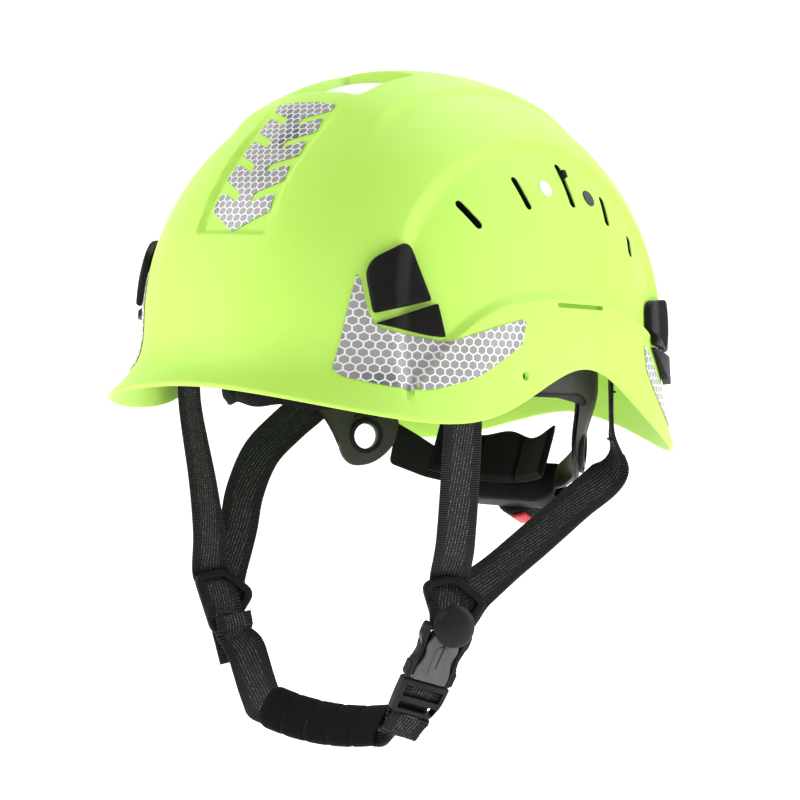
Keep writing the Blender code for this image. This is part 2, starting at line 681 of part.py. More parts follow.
def dividers(look):
    for word, frame in (("left", LEFT_DIVIDER), ("right", RIGHT_DIVIDER)):
        outer = rounded(DIVIDER_CORNERS, 0.0055)
        inner = rounded(inset(DIVIDER_CORNERS, 0.0044), 0.0028)
        hoop("divider_" + word, outer, inner, -0.0016, 0.0016, frame, look["black"])
    cap = LEFT_DIVIDER @ Matrix.Translation((-0.0030, 0.0075, 0.0))
    face = -1 if (LEFT_DIVIDER.to_3x3() @ Vector((0, 0, 1))).y > 0 else 1
    profile = [(0.0, 0.0019), (0.0035, 0.0019), (0.0035, 0.0108), (0.0098, 0.0108), (0.0098, 0.0122),
               (0.0070, 0.0138), (0.0, 0.0144)]
    turned("divider_cap", [(r, face * h) for r, h in profile], 20, cap, look["black"])


def buckle(look):
    """Side-release buckle: the socket stays with the left straps, the plug slides out of it."""
    half = [(0.0078, -0.0010), (0.0120, 0.0010), (0.0122, 0.0035), (0.0078, 0.0042), (0.0076, 0.0160),
            (0.0088, 0.0168), (0.0088, 0.0198)]
    outline = half + [(-x, y) for x, y in reversed(half)]
    socket = prism("buckle_socket", outline, -0.0035, 0.0035, BUCKLE, look["black"])
    cut(socket, [box("mouth_cutter", (-0.0044, 0.0070, -0.0018), (0.0044, 0.0300, 0.0018), BUCKLE, look["black"])])
    slider = empty("buckle_slider", BUCKLE @ Vector((0, 0.0202, 0)))
    base = [(-0.0120, 0.0202), (0.0120, 0.0202), (0.0112, 0.0370), (-0.0112, 0.0370)]
    plug = prism("buckle_plug", rounded(base, 0.0015, 2), -0.0030, 0.0030, BUCKLE, look["black"], 30, slider)
    tongue = box("tongue_cutter", (-0.0040, 0.0085, -0.0014), (0.0040, 0.0212, 0.0014), BUCKLE, look["black"])
    cut(plug, [tongue], "UNION")
    windows = [box("window_cutter", (-0.0098, low, -0.01), (0.0098, high, 0.01), BUCKLE, look["black"])
               for low, high in ((0.0228, 0.0278), (0.0302, 0.0345))]
    cut(plug, windows)
    for word, side in (("left", 1), ("right", -1)):
        pivot = empty("prong_pivot_" + word, BUCKLE @ Vector((0.0110 * side, 0.0195, 0)))
        pivot.parent = slider
        pivot.matrix_parent_inverse = slider.matrix_world.inverted()
        bpy.context.view_layer.update()
        low, high = sorted((0.0098 * side, 0.0124 * side))
        box("buckle_prong_" + word, (low, 0.0045, -0.0026), (high, 0.0198, 0.0026), BUCKLE, look["black"], pivot)


def chin_parts(look):
    """Chin webbing and its padded sleeve, carried by the buckle's plug."""
    slider = bpy.data.objects["buckle_slider"]
    start = BUCKLE @ Vector((0, 0.0375, 0))
    ribbon("chin_strap_left",
           [start, BUCKLE @ Vector((0, 0.0430, 0)), (0.0500, -0.0570, -0.1495), (0.0458, -0.0575, -0.1503)],
           [(0.45, 0.87, -0.24), (0.45, 0.87, -0.20), (0.30, 0.92, 0.15), (0.20, 0.75, 0.60)], look["webbing"],
           parent=slider)
    ribbon("chin_strap_right",
           [(-0.0400, -0.0560, -0.1440), (-0.0470, -0.0535, -0.1400), (-0.0560, -0.0490, -0.1330), (-0.0680, -0.0440, -0.1195)],
           [(0.30, 0.60, 0.70), (0.55, 0.58, 0.58), (0.70, 0.55, 0.42), (0.74, 0.60, 0.25)], look["webbing"],
           parent=slider)
    count = 12
    verts = []
    stations = [-0.0345, -0.028, -0.014, 0.0, 0.017, 0.034, 0.0418]
    for x in stations:
        fat = 1.0 - 0.20 * (abs(x) / 0.0420) ** 4
        centre = Vector((x, -0.0575, -0.1515 + 3.2 * (x - 0.010) ** 2))
        wide, thick = Vector((0, 0.62, 0.78)), Vector((0, 0.78, -0.62))
        for k in range(count):
            a = 2 * pi * k / count
            verts.append(centre + wide * 0.0115 * cos(a) * fat + thick * 0.0048 * sin(a) * fat)
    faces = [tuple(range(count))[::-1], tuple(range(count * (len(stations) - 1), count * len(stations)))]
    for i in range(len(stations) - 1):
        for k in range(count):
            a, b = count * i + k, count * i + (k + 1) % count
            faces.append((a, b, b + count, a + count))
    piece("chin_pad", verts, faces, look["fabric"], 50, slider)


def build():
    clear_scene()
    look = looks()
    outer_shell(look["green"])
    for side, word in ((1, "left"), (-1, "right")):
        lamp_clips(side, word, look["black"])
        reflectors(side, word, look["film"])
        vent_parts(side, word, look)
        harness_side(side, word, look)
        anchors(side, word, look)
    front_reflector(look["film"])
    top_plate(look["white"])
    brow(look)
    crown_straps(look)
    nape_housing(look)
    nape_moving(look)
    nape_pad(look)
    side_straps(look["webbing"])
    dividers(look)
    buckle(look)
    chin_parts(look)


build()
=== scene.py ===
"""Looks of the arborist climbing helmet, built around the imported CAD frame.

Units are metres, in the frame's own axes: +Z up, the brim looks along -Y, the wearer's left is +X.
"""
from math import cos, degrees, pi, radians, sin, sqrt

import bmesh
import bpy
import numpy as np
from mathutils import Matrix, Vector


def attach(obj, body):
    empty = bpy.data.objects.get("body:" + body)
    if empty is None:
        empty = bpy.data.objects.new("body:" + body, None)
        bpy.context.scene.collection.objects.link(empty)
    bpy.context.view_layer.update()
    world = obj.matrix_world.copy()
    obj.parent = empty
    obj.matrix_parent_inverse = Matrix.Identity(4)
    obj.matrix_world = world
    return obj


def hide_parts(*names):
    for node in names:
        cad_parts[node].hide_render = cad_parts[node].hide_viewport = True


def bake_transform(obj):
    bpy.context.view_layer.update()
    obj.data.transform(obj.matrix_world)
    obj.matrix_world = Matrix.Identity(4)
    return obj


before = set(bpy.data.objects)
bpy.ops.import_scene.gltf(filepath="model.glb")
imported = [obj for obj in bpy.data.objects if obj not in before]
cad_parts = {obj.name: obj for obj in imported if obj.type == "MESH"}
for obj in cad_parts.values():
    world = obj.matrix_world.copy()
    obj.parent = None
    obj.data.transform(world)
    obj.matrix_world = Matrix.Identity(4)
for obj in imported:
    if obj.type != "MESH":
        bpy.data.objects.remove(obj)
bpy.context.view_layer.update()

# ---------------------------------------------------------------- view
CAMERA_AZIMUTH = 37.72
CAMERA_ELEVATION = 0.38
CAMERA_ROLL = 2.51
CAMERA_DISTANCE = 1.633
CAMERA_AIM = (-0.0024, -0.0018, 0.0034)
CAMERA_LENS = 150.0
FLOOR_Z = -0.1715

# ---------------------------------------------------------------- shell, the same driving sizes as the CAD
SHELL_HALF_WIDTH = 0.1054
SHELL_FRONT_LENGTH = 0.1461
SHELL_BACK_LENGTH = 0.1374
SHELL_EGG = 0.025
SHELL_SQUARENESS = 2.324
EQUATOR_Z = 0.0365
DOME_HEIGHT = 0.1251
DOME_FULLNESS = 0.967
DOME_SHOULDER = 0.996
SHELL_WALL = 0.0028
SKIRT_START = 0.72
RIM_Z = -0.0099
BRIM_REACH = 0.0352
WEBBING_WIDTH = 0.019
WEBBING_THICKNESS = 0.0016
RING_HALF_WIDTH = 0.080
RING_HALF_LENGTH = 0.098
CELL_PITCH = 0.0041           # honeycomb film, cell to cell
RIB_PITCH = 0.0011            # webbing, rib to rib
VENT_WIDTH = 0.0044
VENTS = {
    "first": ((49.5, 0.0963), (54.5, 0.0874)),
    "second": ((70.5, 0.1104), (73.5, 0.0987)),
    "lever": ((97.5, 0.1197), (95.8, 0.1021)),
    "fourth": ((115.2, 0.1058), (112.0, 0.0949)),
    "fifth": ((123.0, 0.0874), (121.0, 0.0808)),
}
SIDES = (("left", 1), ("right", -1))
SLEEVE_WIDE = 0.0114          # chin sleeve, half across the strap
SLEEVE_THICK = 0.0046


# ================================================================ materials
def wire(tree, kind, settings=None, **inputs):
    """Add a node; inputs are values or sockets, by name or by _number."""
    node = tree.nodes.new(kind)
    for key, value in (settings or {}).items():
        setattr(node, key, value)
    for key, value in inputs.items():
        socket = node.inputs[int(key[1:])] if key[0] == "_" else node.inputs[key.replace("__", " ")]
        if isinstance(value, bpy.types.NodeSocket):
            tree.links.new(value, socket)
        else:
            socket.default_value = value
    return node


def maths(tree, operation, *values):
    node = wire(tree, "ShaderNodeMath", {"operation": operation})
    for socket, value in zip(node.inputs, values):
        if isinstance(value, bpy.types.NodeSocket):
            tree.links.new(value, socket)
        else:
            socket.default_value = value
    return node.outputs[0]


def ramp(tree, factor, stops):
    """Colour ramp from (position, grey or colour) stops."""
    node = wire(tree, "ShaderNodeValToRGB", Fac=factor)
    elements = node.color_ramp.elements
    while len(elements) < len(stops):
        elements.new(0.5)
    for element, (position, colour) in zip(elements, stops):
        element.position = position
        element.color = (colour, colour, colour, 1) if isinstance(colour, float) else (*colour, 1)
    return node.outputs["Color"]


def noise(tree, vector, scale, detail=4.0, roughness=0.55):
    return wire(tree, "ShaderNodeTexNoise", Vector=vector, Scale=scale, Detail=detail,
                Roughness=roughness).outputs["Fac"]


def mix(tree, factor, one, two, blend="MIX"):
    node = wire(tree, "ShaderNodeMix", {"data_type": "RGBA", "blend_type": blend}, _0=factor)
    for index, value in ((6, one), (7, two)):
        if isinstance(value, bpy.types.NodeSocket):
            tree.links.new(value, node.inputs[index])
        else:
            node.inputs[index].default_value = (*value, 1)
    return node.outputs[2]


def bump(tree, height, strength, distance):
    return wire(tree, "ShaderNodeBump", Strength=strength, Distance=distance, Height=height).outputs[0]


def new_material(name, roughness=0.5):
    made = bpy.data.materials.new(name)
    made.use_nodes = True
    tree = made.node_tree
    shader = tree.nodes["Principled BSDF"]
    shader.inputs["Roughness"].default_value = roughness
    place = wire(tree, "ShaderNodeTexCoord")
    return made, tree, shader, place


def shell_green():
    """Fluorescent yellow-green moulding: matte, faint orange peel, slightly uneven pigment."""
    made, tree, shader, place = new_material("shell_green", 0.5)
    spot = place.outputs["Object"]
    cloud = noise(tree, spot, 14.0, 3.0)
    tone = mix(tree, ramp(tree, cloud, [(0.3, 0.0), (0.7, 1.0)]), (0.480, 0.810, 0.105),
               (0.505, 0.825, 0.125))
    tree.links.new(tone, shader.inputs["Base Color"])
    peel = maths(tree, "ADD", noise(tree, spot, 420.0, 2.0),
                 maths(tree, "MULTIPLY", noise(tree, spot, 2600.0, 2.0), 0.35))
    tree.links.new(bump(tree, peel, 0.10, 0.00012), shader.inputs["Normal"])
    rough = ramp(tree, noise(tree, spot, 60.0, 3.0), [(0.3, 0.46), (0.7, 0.54)])
    tree.links.new(rough, shader.inputs["Roughness"])
    shader.inputs["Specular IOR Level"].default_value = 0.30
    return made


def plastic(name, dark, light, roughness, grain=1800.0, depth=0.00006, strength=0.35, shine=0.22):
    """Moulded plastic with a fine sparked grain and faint handling marks."""
    made, tree, shader, place = new_material(name, roughness)
    spot = place.outputs["Object"]
    wear = ramp(tree, noise(tree, spot, 55.0, 5.0), [(0.35, 0.0), (0.72, 1.0)])
    tree.links.new(mix(tree, wear, dark, light), shader.inputs["Base Color"])
    grit = noise(tree, spot, grain, 2.0, 0.6)
    tree.links.new(bump(tree, grit, strength, depth), shader.inputs["Normal"])
    rough = ramp(tree, noise(tree, spot, 130.0, 4.0), [(0.25, roughness - 0.06), (0.75, roughness + 0.07)])
    tree.links.new(rough, shader.inputs["Roughness"])
    shader.inputs["Specular IOR Level"].default_value = shine
    return made


def honeycomb_film():
    """Silver-grey retroreflective film: hexagonal cells in pale walls, and a painted reflection as patches
    of darker cells.
    """
    made, tree, shader, place = new_material("reflective_film", 0.38)
    plane = place.outputs["UV"]
    pitch = CELL_PITCH
    parts = wire(tree, "ShaderNodeSeparateXYZ", Vector=plane).outputs
    rows = pitch * sqrt(3)

    def lattice(shift):
        """Offset from the nearest centre of one of the two interleaved lattices."""
        offsets = []
        for axis, step in ((0, pitch), (1, rows)):
            moved = maths(tree, "ADD", parts[axis], shift * step)
            cell = maths(tree, "ROUND", maths(tree, "DIVIDE", moved, step))
            offsets.append(maths(tree, "SUBTRACT", moved, maths(tree, "MULTIPLY", cell, step)))
        squares = [maths(tree, "MULTIPLY", o, o) for o in offsets]
        return offsets, maths(tree, "ADD", *squares)

    (ax, ay), near_a = lattice(0.0)
    (bx, by), near_b = lattice(0.5)
    use_b = maths(tree, "LESS_THAN", near_b, near_a)

    def pick(one, two):
        return maths(tree, "ADD", one, maths(tree, "MULTIPLY", use_b, maths(tree, "SUBTRACT", two, one)))

    dx, dy = pick(ax, bx), pick(ay, by)
    across = maths(tree, "ABSOLUTE", dx)
    slant = maths(tree, "ADD", maths(tree, "MULTIPLY", across, 0.5),
                  maths(tree, "MULTIPLY", maths(tree, "ABSOLUTE", dy), sqrt(3) / 2))
    reach = maths(tree, "MAXIMUM", across, slant)
    wall = ramp(tree, maths(tree, "DIVIDE", reach, pitch), [(0.405, 0.0), (0.435, 1.0)])
    centre_x = maths(tree, "SUBTRACT", parts[0], dx)
    centre_y = maths(tree, "SUBTRACT", parts[1], dy)
    cell_spot = wire(tree, "ShaderNodeCombineXYZ", X=centre_x, Y=centre_y, Z=0.0).outputs[0]
    # painted reflection: noise picks patches of cells that take the darker colour, standing in for a dark
    # reflection band
    reflection_band = ramp(tree, noise(tree, cell_spot, 26.0, 1.0), [(0.53, 0.0), (0.60, 1.0)])
    speck = noise(tree, cell_spot, 900.0, 0.0)
    light = mix(tree, speck, (0.27, 0.265, 0.26), (0.33, 0.325, 0.32))
    # painted reflection: the darker cell colour of the reflection patches
    dark = mix(tree, speck, (0.095, 0.110, 0.125), (0.14, 0.158, 0.172))
    cells = mix(tree, reflection_band, light, dark)
    tree.links.new(mix(tree, wall, cells, (0.80, 0.80, 0.80)), shader.inputs["Base Color"])
    tree.links.new(bump(tree, wall, 0.5, 0.00008), shader.inputs["Normal"])
    shader.inputs["Coat Weight"].default_value = 0.25
    shader.inputs["Coat Roughness"].default_value = 0.15
    return made


def webbing():
    """Woven polyester: cross ribs at both edges, slanted raised cords and ladder stitches in the middle."""
    made, tree, shader, place = new_material("webbing", 0.62)
    parts = wire(tree, "ShaderNodeSeparateXYZ", Vector=place.outputs["UV"]).outputs
    across, along = parts[0], parts[1]
    side = maths(tree, "ABSOLUTE", across)
    edge = ramp(tree, maths(tree, "DIVIDE", side, WEBBING_WIDTH / 2), [(0.52, 0.0), (0.58, 1.0)])
    turns = 2 * pi / RIB_PITCH
    rib = maths(tree, "MULTIPLY_ADD", maths(tree, "SINE", maths(tree, "MULTIPLY", along, turns)), 0.5, 0.5)
    lean = maths(tree, "ADD", maths(tree, "MULTIPLY", across, 2 * pi / 0.00155),
                 maths(tree, "MULTIPLY", along, 2 * pi / 0.0125))
    cord = maths(tree, "MULTIPLY_ADD", maths(tree, "SINE", lean), 0.5, 0.5)
    stitch = maths(tree, "MULTIPLY", maths(tree, "SUBTRACT", 1.0, cord),
                   maths(tree, "MULTIPLY_ADD", maths(tree, "SINE",
                                                     maths(tree, "MULTIPLY", along, turns * 0.8)), 0.5, 0.5))
    middle = maths(tree, "MAXIMUM", cord, maths(tree, "MULTIPLY", stitch, 0.8))
    height = maths(tree, "ADD", maths(tree, "MULTIPLY", rib, edge),
                   maths(tree, "MULTIPLY", middle, maths(tree, "SUBTRACT", 1.0, edge)))
    fibre = noise(tree, place.outputs["UV"], 5200.0, 2.0)
    # painted highlight and shade: raised ribs and cords coloured lighter and grooves darker, as the light
    # falls on the weave
    tone = mix(tree, height, (0.0016, 0.0016, 0.0018), (0.034, 0.034, 0.037))
    # painted highlight: pale dashes on the raised middle cords
    cord_glint = ramp(tree, maths(tree, "MULTIPLY", middle, noise(tree, place.outputs["UV"], 1500.0, 1.0)),
                 [(0.50, 0.0), (0.62, 1.0)])
    inner = maths(tree, "MULTIPLY", cord_glint, maths(tree, "SUBTRACT", 1.0, edge))
    # painted highlight colour mixed onto the middle cords
    tone = mix(tree, maths(tree, "MULTIPLY", inner, 0.55), tone, (0.34, 0.34, 0.35))
    tree.links.new(tone, shader.inputs["Base Color"])
    relief_height = maths(tree, "ADD", height, maths(tree, "MULTIPLY", fibre, 0.25))
    tree.links.new(bump(tree, relief_height, 0.8, 0.00035), shader.inputs["Normal"])
    shader.inputs["Specular IOR Level"].default_value = 0.12
    shader.inputs["Sheen Weight"].default_value = 0.04
    shader.inputs["Sheen Roughness"].default_value = 0.4
    return made


def pad_fabric():
    """Black woven sleeve fabric with a fine twill."""
    made, tree, shader, place = new_material("pad_fabric", 0.85)
    parts = wire(tree, "ShaderNodeSeparateXYZ", Vector=place.outputs["UV"]).outputs
    twill = maths(tree, "SINE", maths(tree, "MULTIPLY", maths(tree, "ADD", parts[0], parts[1]),
                                      2 * pi / 0.0009))
    weft = maths(tree, "SINE", maths(tree, "MULTIPLY", parts[1], 2 * pi / 0.0006))
    height = maths(tree, "ADD", maths(tree, "MULTIPLY", twill, 0.5), maths(tree, "MULTIPLY", weft, 0.3))
    lint = noise(tree, place.outputs["Object"], 900.0, 3.0)
    tone = mix(tree, maths(tree, "MULTIPLY_ADD", height, 0.35, 0.5), (0.0015, 0.0015, 0.0015),
               (0.0075, 0.007, 0.0065))
    tone = mix(tree, ramp(tree, lint, [(0.62, 0.0), (0.75, 0.5)]), tone, (0.013, 0.012, 0.011))
    tree.links.new(tone, shader.inputs["Base Color"])
    tree.links.new(bump(tree, height, 0.5, 0.00015), shader.inputs["Normal"])
    shader.inputs["Specular IOR Level"].default_value = 0.08
    shader.inputs["Sheen Weight"].default_value = 0.03
    shader.inputs["Sheen Roughness"].default_value = 0.5
    return made


def stage_paper():
    """Plain pale floor with a trace of tone so that it isn't one flat value."""
    made, tree, shader, place = new_material("stage_paper", 0.9)
    cloud = noise(tree, place.outputs["Object"], 3.0, 2.0)
    tone = mix(tree, cloud, (0.84, 0.84, 0.84), (0.87, 0.87, 0.87))
    tree.links.new(tone, shader.inputs["Base Color"])
    shader.inputs["Emission Color"].default_value = (1, 1, 1, 1)
    shader.inputs["Emission Strength"].default_value = 0.80
    return made


LOOK = {
    "green": shell_green(),
    "black": plastic("black_plastic", (0.0060, 0.0060, 0.0060), (0.011, 0.0108, 0.0105), 0.50, shine=0.10),
    "gloss": plastic("buckle_plastic", (0.009, 0.009, 0.0095), (0.018, 0.018, 0.019), 0.36, 1500.0, 0.00005,
                     0.30, 0.16),
    # painted reflection: black buckle plastic given a mid grey where it catches the light (socket face,
    # latch rib, webbing fold edges)
    "reflection_grey": plastic("socket_painted_reflection", (0.085, 0.085, 0.086), (0.130, 0.130, 0.132), 0.42, 1500.0, 0.00005,
                     0.30),
    "harness": plastic("harness_plastic", (0.008, 0.008, 0.008), (0.015, 0.015, 0.0145), 0.38, 1400.0,
                       0.00004, 0.25, 0.15),
    "panel": plastic("panel_plastic", (0.045, 0.045, 0.040), (0.060, 0.060, 0.053), 0.55),
    "film": honeycomb_film(),
    "webbing": webbing(),
    "fabric": pad_fabric(),
    "red": plastic("dial_red", (0.40, 0.003, 0.006), (0.50, 0.005, 0.008), 0.36, 900.0, 0.00004, 0.2, 0.35),
    "white": plastic("white_plastic", (0.78, 0.78, 0.78), (0.86, 0.86, 0.86), 0.45, 900.0, 0.00003, 0.15),
}


# ================================================================ mesh helpers
def mesh_piece(name, verts, faces, look, body="root", nodes=(), smooth=40.0, uvs=None):
    """A piece from points and faces; it rides on a body and stands for CAD nodes."""
    mesh = bpy.data.meshes.new(name)
    mesh.from_pydata(np.asarray(verts, dtype=float).tolist(), [], faces)
    if uvs is not None:
        layer = mesh.uv_layers.new(name="UVMap")
        index = np.empty(len(mesh.loops), dtype=np.int32)
        mesh.loops.foreach_get("vertex_index", index)
        layer.data.foreach_set("uv", np.asarray(uvs, dtype=np.float32)[index].ravel())
    mesh.validate()
    solid = bmesh.new()
    solid.from_mesh(mesh)
    bmesh.ops.recalc_face_normals(solid, faces=solid.faces)
    if solid.calc_volume(signed=True) < 0:
        bmesh.ops.reverse_faces(solid, faces=solid.faces)
    solid.to_mesh(mesh)
    solid.free()
    mesh.materials.append(LOOK[look])
    mesh.shade_smooth()
    mesh.set_sharp_from_angle(angle=radians(smooth))
    made = bpy.data.objects.new(name, mesh)
    bpy.context.scene.collection.objects.link(made)
    if body:
        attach(made, body)
    if nodes:
        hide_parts(*nodes)
    return made


def baked(target):
    """Apply the target's modifiers to its mesh."""
    bpy.context.view_layer.update()
    depsgraph = bpy.context.evaluated_depsgraph_get()
    mesh = bpy.data.meshes.new_from_object(target.evaluated_get(depsgraph))
    target.modifiers.clear()
    target.data = mesh
    return target


def boolean(target, cutter, operation="DIFFERENCE"):
    change = target.modifiers.new("cut", "BOOLEAN")
    change.operation = operation
    change.solver = "EXACT"
    change.object = cutter
    baked(target)
    bpy.data.objects.remove(cutter, do_unlink=True)
    return target


def helper(name, verts, faces):
    """A cutter: a mesh object that is gone before the script ends."""
    mesh = bpy.data.meshes.new(name)
    mesh.from_pydata([tuple(v) for v in verts], [], faces)
    solid = bmesh.new()
    solid.from_mesh(mesh)
    bmesh.ops.recalc_face_normals(solid, faces=solid.faces)
    if solid.calc_volume(signed=True) < 0:
        bmesh.ops.reverse_faces(solid, faces=solid.faces)
    solid.to_mesh(mesh)
    solid.free()
    made = bpy.data.objects.new(name, mesh)
    bpy.context.scene.collection.objects.link(made)
    return made


def grid_faces(columns, rows, wrap=False, start=0):
    faces = []
    for i in range(columns if wrap else columns - 1):
        k = (i + 1) % columns
        for j in range(rows - 1):
            faces.append((start + i * rows + j, start + k * rows + j, start + k * rows + j + 1,
                          start + i * rows + j + 1))
    return faces


def ease(x):
    x = np.clip(x, 0.0, 1.0)
    return x * x * (3 - 2 * x)


def crease(x):
    """A straight ramp with slightly rounded ends."""
    return 0.6 * np.clip(x, 0.0, 1.0) + 0.4 * ease(x)


def frame_axes(origin, x_axis, y_axis):
    """A matrix with x along x_axis and y near y_axis."""
    one = Vector(x_axis).normalized()
    two = Vector(y_axis)
    two = (two - one * two.dot(one)).normalized()
    return Matrix.Translation(origin) @ Matrix((one, two, one.cross(two))).transposed().to_4x4()


def to_frame(matrix, points):
    grid = np.asarray(points, dtype=float)
    turn = np.array(matrix.to_3x3())
    return grid @ turn.T + np.array(matrix.translation)


def smooth_path(points, count):
    """A Catmull-Rom curve through points, resampled to even steps."""
    knots = np.asarray(points, dtype=float)
    ends = np.vstack([2 * knots[0] - knots[1], knots, 2 * knots[-1] - knots[-2]])
    fine = []
    for i in range(1, len(ends) - 2):
        a, b, c, d = ends[i - 1:i + 3]
        for t in np.linspace(0, 1, 40, endpoint=False):
            fine.append(0.5 * (2 * b + (c - a) * t + (2 * a - 5 * b + 4 * c - d) * t * t
                               + (3 * b - a - 3 * c + d) * t ** 3))
    fine.append(knots[-1])
    fine = np.array(fine)
    run = np.concatenate([[0], np.cumsum(np.linalg.norm(np.diff(fine[:, :3], axis=0), axis=1))])
    even = np.linspace(0, run[-1], count)
    return np.stack([np.interp(even, run, fine[:, k]) for k in range(fine.shape[1])], axis=1), run[-1]


def rounded(corners, radius, steps=6):
    """An outline with each corner turned into an arc; radius may differ by corner."""
    points = []
    count = len(corners)
    for i in range(count):
        before, here, after = (np.array(corners[(i + k) % count][:2], dtype=float) for k in (-1, 0, 1))
        size = corners[i][2] if len(corners[i]) > 2 else radius
        one, two = before - here, after - here
        size = min(size, 0.49 * np.linalg.norm(one), 0.49 * np.linalg.norm(two))
        start, end = here + one / np.linalg.norm(one) * size, here + two / np.linalg.norm(two) * size
        for t in np.linspace(0, 1, steps + 1):
            points.append(start * (1 - t) ** 2 + here * 2 * t * (1 - t) + end * t ** 2)
    return np.array(points)


def box_outline(left, low, right, high):
    return [(left, low), (right, low), (right, high), (left, high)]


def resample(outline, count):
    closed = np.vstack([outline, outline[:1]])
    run = np.concatenate([[0], np.cumsum(np.linalg.norm(np.diff(closed, axis=0), axis=1))])
    even = np.linspace(0, run[-1], count, endpoint=False)
    return np.stack([np.interp(even, run, closed[:, k]) for k in (0, 1)], axis=1)


def inwards(outline):
    """Unit normals of a closed outline, pointing to its inside."""
    along = np.roll(outline, -1, axis=0) - np.roll(outline, 1, axis=0)
    normal = np.stack([-along[:, 1], along[:, 0]], axis=1)
    normal /= np.linalg.norm(normal, axis=1, keepdims=True) + 1e-12
    x, y = outline[:, 0], outline[:, 1]
    area = np.sum(x * np.roll(y, -1) - y * np.roll(x, -1))
    return normal if area > 0 else -normal


def cushion(outline, layers, place, rings=6):
    """Closed solid over an outline: layers are (inset, height) from the bottom edge to the top edge.

    Both faces are filled with rings that shrink towards the outline's middle, so they can follow a
    curved surface through place(x, y, height)."""
    count = len(outline)
    inner = inwards(outline)
    middle = outline.mean(axis=0)
    loops = []
    first, last = layers[0], layers[-1]
    base = outline + inner * first[0]
    for t in np.linspace(0, 1, rings + 1)[1:-1]:
        loops.append((middle + (base - middle) * t, first[1]))
    for offset, height in layers:
        loops.append((outline + inner * offset, height))
    top = outline + inner * last[0]
    for t in np.linspace(1, 0, rings + 1)[1:-1]:
        loops.append((middle + (top - middle) * t, last[1]))
    points = [place(np.array([middle[0]]), np.array([middle[1]]), np.array([first[1]]))]
    for loop, height in loops:
        points.append(place(loop[:, 0], loop[:, 1], np.full(count, height)))
    points.append(place(np.array([middle[0]]), np.array([middle[1]]), np.array([last[1]])))
    flat = [np.tile(middle, (1, 1))] + [loop for loop, _ in loops] + [np.tile(middle, (1, 1))]
    verts, uvs = np.vstack(points), np.vstack(flat)
    faces = []
    for i in range(count):
        k = (i + 1) % count
        faces.append((0, 1 + k, 1 + i))
        for level in range(len(loops) - 1):
            a, b = 1 + level * count, 1 + (level + 1) * count
            faces.append((a + i, a + k, b + k, b + i))
        last_ring = 1 + (len(loops) - 1) * count
        faces.append((last_ring + count, last_ring + i, last_ring + k))
    return verts, faces, uvs


def fillet(height, radius, steps=5, low=0.0):
    """Layers of a straight wall that ends in a rounded upper edge."""
    layers = [(0.0, low)]
    for a in np.linspace(0, pi / 2, steps + 1):
        layers.append((radius * (1 - cos(a)), height - radius + radius * sin(a)))
    return layers


def both_fillets(low, high, radius, steps=4):
    """Layers with rounded lower and upper edges."""
    layers = []
    for a in np.linspace(-pi / 2, 0, steps + 1):
        layers.append((radius * (1 - cos(a)), low + radius + radius * sin(a)))
    for a in np.linspace(0, pi / 2, steps + 1):
        layers.append((radius * (1 - cos(a)), high - radius + radius * sin(a)))
    return layers


def flat_place(matrix):
    return lambda x, y, h: to_frame(matrix, np.stack([x, y, h], axis=1))


def flat_solid(name, outline, low, high, radius, matrix, look, body="root", nodes=(), smooth=40.0):
    verts, faces, uvs = cushion(outline, both_fillets(low, high, radius), flat_place(matrix), 3)
    return mesh_piece(name, verts, faces, look, body, nodes, smooth, uvs)


def hoop_solid(name, outer, inner, low, high, radius, matrix, look, body="root", nodes=()):
    """A ring between two outlines of equal count, all four edges rounded."""
    count = len(outer)
    loops = []
    for offset, height in both_fillets(low, high, radius):
        loops.append((outer + inwards(outer) * offset, height))
    for offset, height in reversed(both_fillets(low, high, radius)):
        loops.append((inner - inwards(inner) * offset, height))
    verts = np.vstack([to_frame(matrix, np.column_stack([loop, np.full(count, h)])) for loop, h in loops])
    faces = []
    for level in range(len(loops)):
        a, b = level * count, ((level + 1) % len(loops)) * count
        for i in range(count):
            k = (i + 1) % count
            faces.append((a + i, a + k, b + k, b + i))
    return mesh_piece(name, verts, faces, look, body, nodes)


def turned(name, profile, matrix, look, body="root", nodes=(), count=48, smooth=35.0):
    """Profile of (radius, height) turned about the matrix's z; both ends on the axis."""
    turn = np.linspace(0, 2 * pi, count, endpoint=False)
    verts = [[0, 0, profile[0][1]], [0, 0, profile[-1][1]]]
    for radius, height in profile[1:-1]:
        verts += [[radius * cos(t), radius * sin(t), height] for t in turn]
    faces = []
    last = 2 + (len(profile) - 3) * count
    for i in range(count):
        k = (i + 1) % count
        faces.append((0, 2 + k, 2 + i))
        faces.append((1, last + i, last + k))
        for j in range(len(profile) - 3):
            a, b = 2 + j * count, 2 + (j + 1) * count
            faces.append((a + i, a + k, b + k, b + i))
    return mesh_piece(name, to_frame(matrix, verts), faces, look, body, nodes, smooth)


# ================================================================ the shell's surface
def rim_height(turn):
    away = np.abs(np.degrees(turn))
    brim = 0.0187 * ease(1 - away / 62)
    ear = 0.0333 * np.exp(-((away - 91.5) / 29.3) ** 2)
    nape = 0.0132 * ease((away - 140) / 40) - 0.007 * np.exp(-((away - 150) / 21.9) ** 2)
    return RIM_Z + brim + ear + nape


def plan_radius(turn):
    length = np.where(np.cos(turn) > 0, SHELL_FRONT_LENGTH, SHELL_BACK_LENGTH)
    width = SHELL_HALF_WIDTH * (1 - SHELL_EGG * np.cos(turn))
    across = (np.abs(np.sin(turn)) / width) ** SHELL_SQUARENESS
    along = (np.abs(np.cos(turn)) / length) ** SHELL_SQUARENESS
    return (across + along) ** (-1 / SHELL_SQUARENESS)


